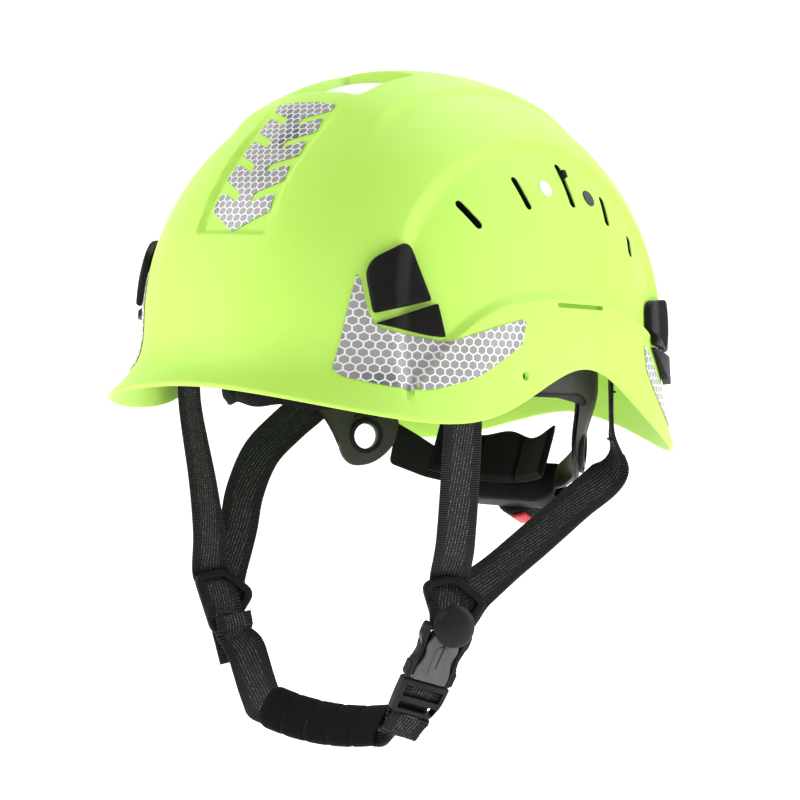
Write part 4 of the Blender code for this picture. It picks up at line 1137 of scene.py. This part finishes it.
def puffed(name, verts, faces, uvs, pins, pressure, body, nodes, fill, shrink=0.0):
    """A fabric skin that a short cloth simulation inflates between its stitch lines."""
    made = mesh_piece(name, verts, faces, "fabric", body, nodes, 80, uvs)
    group = made.vertex_groups.new(name="stitches")
    for index, weight in enumerate(pins):
        if weight > 0.01:
            group.add([index], float(weight), "REPLACE")
    cloth = made.modifiers.new("stuffing", "CLOTH")
    settings = cloth.settings
    settings.quality = 6
    settings.mass = 0.12
    settings.tension_stiffness = 40
    settings.compression_stiffness = 25
    settings.shear_stiffness = 15
    settings.bending_stiffness = 0.6
    settings.air_damping = 4
    settings.use_pressure = True
    settings.uniform_pressure_force = pressure
    settings.shrink_min = shrink
    settings.vertex_group_mass = "stitches"
    settings.pin_stiffness = 1.0
    settings.effector_weights.gravity = 0.0
    cloth.collision_settings.use_collision = False
    cloth.point_cache.frame_start = 1
    cloth.point_cache.frame_end = 14
    PUFFS.append((made, fill))
    return made


def settle():
    """Run the short simulation once for every pad, then keep its shape."""
    scene = bpy.context.scene
    for frame_number in range(1, 15):
        scene.frame_set(frame_number)
    for made, fill in PUFFS:
        baked(made)
        made.data.shade_smooth()
    scene.frame_set(1)


def chin_sleeve():
    """Quilted tube over the chin webbing: five puffed segments, its end near the buckle open."""
    around, length = 64, 150
    stations = np.linspace(-0.0310, 0.0400, length)
    seams = np.array([-0.0165, -0.0025, 0.0115, 0.0255])
    verts, uvs, pins = [], [], []
    wide, thick = np.array([0, 0.62, 0.78]), np.array([0, 0.78, -0.62])
    wide, thick = wide / np.linalg.norm(wide), thick / np.linalg.norm(thick)
    angle = np.linspace(0, 2 * pi, around, endpoint=False)

    def centre_at(x):
        return np.array([x, -0.0575, -0.1515 + 3.2 * (x - 0.010) ** 2])

    for x in stations:
        pinch = np.exp(-((x - seams) / 0.0011) ** 2).max()
        end = np.clip((abs(x - 0.0045) - 0.0325) / 0.003, 0, 1)
        fat = 1.0 - 0.045 * pinch - (0.10 * end if x < 0 else 0.0)
        flat = np.abs(np.sin(angle)) ** 0.8 * np.sign(np.sin(angle))
        ring = centre_at(x) + np.outer(np.cos(angle), wide) * SLEEVE_WIDE * fat
        ring = ring + np.outer(flat, thick) * SLEEVE_THICK * fat
        verts.append(ring)
        uvs.append(np.column_stack([angle / (2 * pi) * 0.052, np.full(around, x)]))
        held = pinch if pinch > 0.5 else 0.0
        pins += [max(held, 1.0 if end > 0.6 else 0.0)] * around
    for x, size in ((0.0400, 0.80), (0.0360, 0.76), (0.0300, 0.70)):
        ring = centre_at(x) + np.outer(np.cos(angle), wide) * SLEEVE_WIDE * (size + 0.1)
        ring = ring + np.outer(np.sin(angle), thick) * SLEEVE_THICK * size
        verts.append(ring)
        uvs.append(np.column_stack([angle / (2 * pi) * 0.052, np.full(around, 0.08 - x)]))
        pins += [1.0] * around
    verts, uvs = np.vstack(verts), np.vstack(uvs)
    rows = length + 3
    faces = []
    for j in range(rows - 1):
        for i in range(around):
            k = (i + 1) % around
            a, b = j * around, (j + 1) * around
            faces.append((a + i, a + k, b + k, b + i))
    faces.append(tuple(range(around)))
    faces.append(tuple(reversed(range((rows - 1) * around, rows * around))))
    puffed("chin_sleeve", verts, faces, uvs, pins, 1.2, "plug", ("chin_pad",), 0.6)
    for index, x in enumerate(seams):
        edge = []
        for t in np.linspace(0, 2 * pi, 72, endpoint=False):
            edge.append((x, t))
        spots = [centre_at(x) + wide * 0.0111 * cos(t) + thick * 0.0046 * sin(t) for _, t in edge]
        thread(f"sleeve_stitch_{index + 1}", spots, "plug")


def thread(name, spots, body, size=0.00022, look="webbing"):
    """Stitch line: a row of short raised stitches along a closed loop of points."""
    verts, faces = [], []
    count = len(spots)
    for i in range(0, count, 2):
        a, b = Vector(spots[i]), Vector(spots[(i + 1) % count])
        b = a + (b - a) * 1.45
        ahead = (b - a).normalized()
        side = ahead.orthogonal().normalized()
        up = ahead.cross(side)
        start = len(verts)
        for t, r in ((0, 0.35), (0.2, 1.0), (0.8, 1.0), (1, 0.35)):
            for k in range(6):
                c = 2 * pi * k / 6
                verts.append(a.lerp(b, t) + side * size * r * cos(c) + up * size * r * sin(c))
        for j in range(3):
            for k in range(6):
                p, q = start + j * 6 + k, start + j * 6 + (k + 1) % 6
                faces.append((p, q, q + 6, p + 6))
        faces.append(tuple(start + k for k in reversed(range(6))))
        faces.append(tuple(start + 18 + k for k in range(6)))
    return mesh_piece(name, [tuple(v) for v in verts], faces, look, body, (), 80,
                      [(v.x, v.z) for v in verts])


# ================================================================ cradle inside the shell
def ring_at(turn, z, out=0.0):
    """Point on the head ring: turn in degrees from the front, z up, out from the head."""
    angle = np.radians(np.asarray(turn, dtype=float))
    z = np.asarray(z, dtype=float)
    swell = 0.008 * ease((z + 0.016) / 0.030)
    wide = RING_HALF_WIDTH + swell
    long = RING_HALF_LENGTH - 0.010 * ease((-z - 0.004) / 0.04)
    normal = np.stack([np.sin(angle) / wide, -np.cos(angle) / long, np.zeros_like(angle)], axis=-1)
    normal /= np.linalg.norm(normal, axis=-1, keepdims=True)
    return np.stack([wide * np.sin(angle), -long * np.cos(angle), z],
                    axis=-1) + normal * np.asarray(out)[..., None]


RING_SCALE = 0.00155          # metres along the ring for one degree


def ring_place(side=1, base=0.0):
    return lambda x, y, h: mirrored(ring_at(x / RING_SCALE, y, h + base), side)


def ring_plate(name, corners, thickness, look, body, nodes, side=1, base=0.0, radius=0.002, edge=0.0006,
               rings=8):
    scaled = [(c[0] * RING_SCALE, c[1], c[2] if len(c) > 2 else radius) for c in corners]
    outline = resample(rounded(scaled, radius, 7), 150)
    verts, faces, uvs = cushion(outline, both_fillets(0.0, thickness, edge, 3), ring_place(side, base),
                                rings)
    return mesh_piece(name, verts, faces, look, body, nodes, 40, uvs)


def harness():
    panel = [(66, 0.0460), (105, 0.0460, 0.008), (116, 0.0350, 0.01), (127, 0.0060, 0.01),
             (135.5, -0.0060, 0.006),
             (135.0, -0.0200, 0.008), (129.0, -0.0305, 0.008), (120.5, -0.0325, 0.008),
             (115.5, -0.0250, 0.008),
             (114.0, -0.0080, 0.008), (110.5, 0.0050, 0.006), (103.0, 0.0080, 0.006), (66, 0.0080)]
    for word, side in SIDES:
        made = ring_plate("ear_panel_" + word, panel, 0.0024, "panel", "root", ("harness_panel_" + word,),
                          side, 0.0,
                          0.003)
        spot = Vector(mirrored(ring_at(124.0, -0.0165, 0.0012), side))
        out = Vector(mirrored(ring_at(124.0, -0.0165, 0.01) - ring_at(124.0, -0.0165, 0.0),
                              side)).normalized()
        up = Vector((0, 0, 1))
        frame_of = Matrix.Translation(spot) @ Matrix((up.cross(out), up, out)).transposed().to_4x4()
        hole = [(0.0064 * cos(a), 0.0064 * sin(a)) for a in np.linspace(0, 2 * pi, 40, endpoint=False)]
        boolean(made, helper("arm_hole", *prism_points(hole, -0.01, 0.01, frame_of)))
        made.data.set_sharp_from_angle(angle=radians(40))
        ring = np.array([(cos(a), sin(a)) for a in np.linspace(0, 2 * pi, 64, endpoint=False)])
        hoop_solid("arm_collar_" + word, ring * 0.0092, ring * 0.0066, -0.0022, 0.0026, 0.0005, frame_of,
                   "harness")
        hoop_solid("arm_ridge_" + word, ring * 0.0120, ring * 0.0110, 0.0004, 0.0021, 0.0003, frame_of,
                   "harness")
        lip = [(67, 0.0098), (104, 0.0098, 0.003), (108.5, 0.0050, 0.003), (107.0, 0.0040, 0.002),
               (103.5, 0.0082, 0.003), (67, 0.0082)]
        ring_plate("panel_lip_" + word, lip, 0.0012, "harness", "root", (), side, 0.0024, 0.0006, 0.0003, 3)
        band = [(134.0, -0.0300), (147, -0.0362), (156, -0.0385, 0.004), (156, -0.0260, 0.004),
                (147, -0.0190), (134.0, -0.0085)]
        ring_plate("nape_arm_" + word, band, 0.0022, "harness", "root", ("nape_band_" + word,), side, 0.0,
                   0.003, 0.0006, 6)
    brow = box_outline(-62, 0.0100, 62, 0.0340)
    ring_plate("brow_hoop", brow, 0.0022, "harness", "root", ("brow_band",), 1, 0.0, 0.006, 0.0007, 10)


def anchors():
    for word, side in SIDES:
        for place_word, angle in (("front", 50.0), ("rear", 124.0)):
            matrix = spot_frame(angle, 0.030, side, -SHELL_WALL)
            outline = resample(rounded(box_outline(-0.0100, -0.0090, 0.0100, 0.0090), 0.003, 6), 80)
            flat_solid(f"strap_anchor_{place_word}_{word}", outline, -0.0085, -0.0030, 0.0009, matrix,
                       "black", "root",
                       (f"anchor_{place_word}_{word}",))


def vent_linings():
    """Black sleeves of the shutter guide that stand in the vents, just below the shell's face."""
    for word, side in SIDES:
        for label, (top_end, low_end) in VENTS.items():
            ends = [Vector(mirrored(on_side(*end), side)) for end in (top_end, low_end)]
            middle = ((top_end[0] + low_end[0]) / 2, (top_end[1] + low_end[1]) / 2)
            matrix = slot_frame(*ends, mirrored(side_normal(*middle), side))
            reach = (ends[1] - ends[0]).length
            outer = np.array(slot_outline(reach, VENT_WIDTH / 2 + 0.0003))
            inner = np.array(slot_outline(reach, VENT_WIDTH / 2 - 0.0001))
            hoop_solid("vent_lining_" + label + "_" + word, outer, inner, -SHELL_WALL - 0.0006, -0.0005,
                       0.00005, matrix, "black")


def vent_shutters():
    for word, side in SIDES:
        outline = resample(rounded([(46.0, 0.0860, 0.001), (58.0, 0.0830, 0.001), (112.0, 0.0800, 0.001),
                                    (127.0, 0.0760, 0.001), (127.0, 0.0920, 0.001), (108.0, 0.1235, 0.001),
                                    (74.0, 0.1235, 0.001), (46.0, 0.1010, 0.001)], 0.001, 3) * [0.0019, 1.0],
                           220)

        def shutter_at(x, y, h):
            return mirrored(on_side(x / 0.0019, y, h - SHELL_WALL - 0.0034), side)

        verts, faces, uvs = cushion(outline, both_fillets(0.0, 0.0012, 0.0004, 3), shutter_at, 14)
        mesh_piece("vent_slider_" + word, verts, faces, "black", "shutter_" + word,
                   ("vent_shutter_" + word,), 40, uvs)
        top = Vector(mirrored(on_side(97.1, 0.1165), side))
        down = Vector(mirrored(np.array([0.44, 0.0, -0.898]), side)).normalized()
        out = Vector(mirrored(side_normal(97.0, 0.114), side))
        out = (out - down * out.dot(down)).normalized()
        matrix = Matrix.Translation(top) @ Matrix((down, out.cross(down), out)).transposed().to_4x4()
        knob = resample(rounded(box_outline(-0.0014, -0.0016, 0.0026, 0.0016), 0.0007, 4), 40)
        flat_solid("vent_knob_" + word, knob, -0.0042, 0.0026, 0.0005, matrix, "black", "shutter_" + word,
                   ("vent_lever_" + word,))


def crown_cradle():
    for tag, direction, top in (("a", 1, 0.1380), ("b", -1, 0.1410)):
        stations = []
        for reach in np.linspace(-1, 1, 17):
            rise = top - (top - 0.058) * abs(reach) ** 2.4 + 0.0006
            stations.append(((0.066 * reach * direction, -0.066 * reach, rise), (0.75 * direction, 0.66, 0)))
        ribbon("crown_webbing_" + tag, stations, ("crown_strap_" + tag,), width=0.018)
    round_pad("crown_cushion", Matrix.Translation((0, 0, 0.1285)), 0.0245, 0.0026, "root", ("crown_pad",))


def round_pad(name, matrix, radius, half, body, nodes):
    """Stuffed disc with a stitched rim."""
    count, rings = 72, 14
    angle = np.linspace(0, 2 * pi, count, endpoint=False)
    verts, uvs, pins = [], [], []
    for sign in (-1, 1):
        steps = np.linspace(0.02, 1, rings)
        for r in (steps if sign < 0 else steps[::-1]):
            height = sign * half * (0.35 + 0.65 * ease((1 - r) / 0.2))
            verts.append(np.column_stack([radius * r * np.cos(angle), radius * r * np.sin(angle),
                                          np.full(count, height)]))
            uvs.append(verts[-1][:, :2])
            pins += [1.0 if r > 0.90 else 0.0] * count
    verts = to_frame(matrix, np.vstack(verts))
    faces = [tuple(range(count)), tuple(reversed(range((2 * rings - 1) * count, 2 * rings * count)))]
    for j in range(2 * rings - 1):
        for i in range(count):
            k = (i + 1) % count
            faces.append((j * count + i, j * count + k, (j + 1) * count + k, (j + 1) * count + i))
    return puffed(name, verts, faces, np.vstack(uvs), pins, 0.5, body, nodes, 0.5)


def band_pad(name, columns, rows, place, thickness, seams, body, nodes, pressure=0.8, fill=0.5):
    """Stuffed strip: two skins over a (u, v) grid joined at a sewn edge, with cross seams at some u."""
    u = np.linspace(0, 1, columns)
    v = np.linspace(0, 1, rows)
    grid_u, grid_v = np.meshgrid(u, v, indexing="ij")
    edge = np.minimum(np.minimum(grid_u, 1 - grid_u) * columns / rows, np.minimum(grid_v, 1 - grid_v))
    seam = np.zeros_like(grid_u)
    for spot in seams:
        seam = np.maximum(seam, np.exp(-((grid_u - spot) * columns / 1.6) ** 2))
    swell = ease(edge / 0.10) * (1 - 0.75 * seam)
    verts, uvs, pins = [], [], []
    for sign in (1, -1):
        lift = sign * thickness / 2 * (0.25 + 0.75 * swell)
        verts.append(place(grid_u.ravel(), grid_v.ravel(), lift.ravel()))
        uvs.append(np.column_stack([grid_u.ravel() * 0.15, grid_v.ravel() * 0.035]))
        pins += list(np.maximum((edge < 0.03), seam > 0.5).astype(float).ravel())
    verts = np.vstack(verts)
    half = columns * rows
    faces = grid_faces(columns, rows) + [tuple(reversed(f)) for f in grid_faces(columns, rows, start=half)]
    border = [i * rows for i in range(columns)] + [(columns - 1) * rows + j for j in range(1, rows)]
    border += [i * rows + rows - 1 for i in range(columns - 2, -1, -1)] + [j for j in range(rows - 2, 0, -1)]
    for a, b in zip(border, border[1:] + border[:1]):
        faces.append((b, a, a + half, b + half))
    return puffed(name, verts, faces, np.vstack(uvs), pins, pressure, body, nodes, fill)


def pads():
    def brow_at(u, v, h):
        scallop = 0.0022 * np.cos(2 * pi * u * 4)
        low, high = -0.0015 + scallop * 0.4, 0.0355 + scallop * 0.3
        return ring_at(-52 + 104 * u, low + (high - low) * v, -0.0034 + h)

    band_pad("brow_cushion", 130, 34, brow_at, 0.0050, (0.25, 0.5, 0.75), "root", ("brow_pad",))

    def nape_at(u, v, h):
        x = -0.0355 + 0.071 * u
        wave = 0.0020 * np.cos(2 * pi * (u - 0.5) * 2) * v
        up = -0.0120 + 0.0255 * v + wave
        back = 0.0050 - 10.0 * x * x - 0.0095 - 0.0035 + h
        return to_frame(NAPE_FRAME, np.stack([x, up, -back], axis=1))

    band_pad("nape_cushion", 90, 40, nape_at, 0.0062, (0.33, 0.67), "root", ("nape_pad",))


# ================================================================ nape adjuster
NAPE_FRAME = frame_axes((0.0, 0.091, -0.028), (1, 0, 0), (0.0, 0.35, 0.937))
DIAL_FRAME = NAPE_FRAME @ Matrix.Translation((0.0, -0.0080, 0.0))


def nape_adjuster():
    shape = [(-0.0310, -0.0150, 0.004), (-0.0230, -0.0195, 0.006), (0.0230, -0.0195, 0.006),
             (0.0310, -0.0150, 0.004),
             (0.0310, 0.0020, 0.002), (-0.0310, 0.0020, 0.002)]
    made = flat_solid("nape_case", resample(rounded(shape, 0.002, 7), 140), -0.0090, 0.0030, 0.0016,
                      NAPE_FRAME, "black",
                      "root", ("nape_housing",))
    channel = box_outline(-0.05, -0.0142, 0.05, -0.0018)
    boolean(made, helper("channel", *prism_points(channel, -0.0060, 0.0, NAPE_FRAME)))
    bore = [(0.0026 * cos(a), 0.0026 * sin(a)) for a in np.linspace(0, 2 * pi, 32, endpoint=False)]
    boolean(made, helper("bore", *prism_points(bore, -0.02, -0.003, DIAL_FRAME)))
    made.data.set_sharp_from_angle(angle=radians(40))
    turn = np.linspace(0, 2 * pi, 432, endpoint=False)
    ribs = 0.0148 - 0.0009 * (0.5 + 0.5 * np.cos(turn * 36)) ** 2
    outline = np.column_stack([ribs * np.cos(turn), ribs * np.sin(turn)])
    flat_solid("dial_knob", outline, -0.0205, -0.0095, 0.0016, DIAL_FRAME, "black", "dial", ("nape_dial",),
               50)
    face = [(0, -0.0212), (0.0090, -0.0212), (0.0098, -0.0206), (0.0100, -0.0198), (0, -0.0198)]
    turned("dial_face", face, DIAL_FRAME, "gloss", "dial")
    for i in range(4):
        middle = radians(-75 - 90 * i)
        arc = np.linspace(middle - radians(15), middle + radians(15), 9)
        corners = [(0.0164 * cos(a), 0.0164 * sin(a)) for a in arc] + [(0.0146 * cos(a),
                                                                        0.0146 * sin(a)) for a in arc[::-1]]
        flat_solid(f"dial_insert_{i + 1}", resample(rounded(corners, 0.0006, 3), 90), -0.0197, -0.0103,
                   0.0005, DIAL_FRAME,
                   "red", "dial", (f"dial_grip_{i + 1}",))
    teeth = 12
    gear = []
    for i in range(teeth):
        for part, radius in ((0.0, 0.0019), (0.25, 0.0019), (0.45, 0.0025), (0.75, 0.0025)):
            a = 2 * pi * (i + part) / teeth
            gear.append((radius * cos(a), radius * sin(a)))
    flat_solid("dial_gear", np.array(gear), -0.0092, -0.0004, 0.0001, DIAL_FRAME, "black", "dial",
               ("dial_pinion",), 30)
    for word, side in SIDES:
        lane_low, lane_high = sorted((-0.0080 + side * 0.0029, -0.0080 + side * 0.0057))
        inner, outer = -0.0140, 0.0400
        corners = [(inner, lane_low)]
        toothed, plain = (lane_low, lane_high) if side > 0 else (lane_high, lane_low)
        row = []
        for x in np.arange(inner, 0.0120, 0.0014):
            row += [(x, toothed), (x + 0.0005, toothed + side * 0.0005),
                    (x + 0.0009, toothed + side * 0.0005), (x + 0.00135, toothed)]
        corners = row + [(outer - 0.001, toothed), (outer, toothed + side * 0.001),
                         (outer, plain - side * 0.001),
                         (outer - 0.001, plain), (inner, plain)]
        outline = np.array([(x * side, y) for x, y in corners])
        flat_solid("toothed_rack_" + word, outline, -0.0056, -0.0004, 0.0001, NAPE_FRAME, "harness",
                   "rack_" + word,
                   ("nape_rack_" + word,), 25)


# ================================================================ stage, lights, camera
def stage():
    mesh = bpy.data.meshes.new("stage_floor")
    size, back, height = 3.0, 1.6, 3.2
    profile = [(-size, 0.0)]
    for a in np.linspace(0, pi / 2, 13):
        profile.append((back + 0.6 * sin(a), 0.6 - 0.6 * cos(a)))
    profile.append((back + 0.6, height))
    turn = radians(CAMERA_AZIMUTH)
    away, sideways = Vector((-sin(turn), cos(turn), 0)), Vector((cos(turn), sin(turn), 0))
    verts, faces = [], []
    for u, h in profile:
        for s in (-size, size):
            verts.append(away * u + sideways * s + Vector((0, 0, FLOOR_Z + h)))
    for i in range(len(profile) - 1):
        faces.append((2 * i, 2 * i + 1, 2 * i + 3, 2 * i + 2))
    mesh.from_pydata([tuple(v) for v in verts], [], faces)
    mesh.materials.append(stage_paper())
    mesh.shade_smooth()
    floor = bpy.data.objects.new("stage_floor", mesh)
    bpy.context.scene.collection.objects.link(floor)


def area_light(name, azimuth, elevation, distance, size, power, colour=(1, 1, 1)):
    """Soft box aimed at the helmet, placed relative to the camera's azimuth."""
    turn, rise = radians(CAMERA_AZIMUTH + azimuth), radians(elevation)
    out = Vector((sin(turn) * cos(rise), -cos(turn) * cos(rise), sin(rise)))
    data = bpy.data.lights.new(name, "AREA")
    data.shape = "RECTANGLE"
    data.size, data.size_y = size
    data.energy = power
    data.color = colour
    lamp = bpy.data.objects.new(name, data)
    lamp.location = out * distance
    lamp.rotation_mode = "QUATERNION"
    lamp.rotation_quaternion = out.to_track_quat("Z", "Y")
    bpy.context.scene.collection.objects.link(lamp)


def lights():
    area_light("key_left", -84, 18, 1.3, (0.8, 1.5), 14)
    area_light("key_right", 84, 24, 1.3, (0.8, 1.5), 13)
    area_light("top_soft", 140, 64, 1.5, (1.2, 1.2), 12)
    area_light("front_fill", -12, 30, 2.2, (0.9, 0.9), 11)
    world = bpy.data.worlds.new("studio")
    world.use_nodes = True
    world.node_tree.nodes["Background"].inputs["Color"].default_value = (1, 1, 1, 1)
    world.node_tree.nodes["Background"].inputs["Strength"].default_value = 0.14
    bpy.context.scene.world = world
    bpy.context.scene.view_settings.view_transform = "Standard"


def camera():
    turn, rise, roll = radians(CAMERA_AZIMUTH), radians(CAMERA_ELEVATION), radians(CAMERA_ROLL)
    back = Vector((sin(turn) * cos(rise), -cos(turn) * cos(rise), sin(rise)))
    level = Vector((cos(turn), sin(turn), 0))
    up = back.cross(level)
    right = level * cos(roll) + up * sin(roll)
    data = bpy.data.cameras.new("camera")
    data.sensor_width = 36.0
    data.lens = CAMERA_LENS
    made = bpy.data.objects.new("camera", data)
    made.matrix_world = (Matrix.Translation(Vector(CAMERA_AIM) + back * CAMERA_DISTANCE)
                         @ Matrix((right, back.cross(right), back)).transposed().to_4x4())
    bpy.context.scene.collection.objects.link(made)
    bpy.context.scene.camera = made


camera()
stage()
lights()
shell()
front_film()
side_films()
crown_plate()
lamp_clips()
vent_markers()
side_straps()
dividers()
buckle()
chin_webbing()
harness()
anchors()
vent_linings()
vent_shutters()
crown_cradle()
nape_adjuster()
chin_sleeve()
pads()
settle()
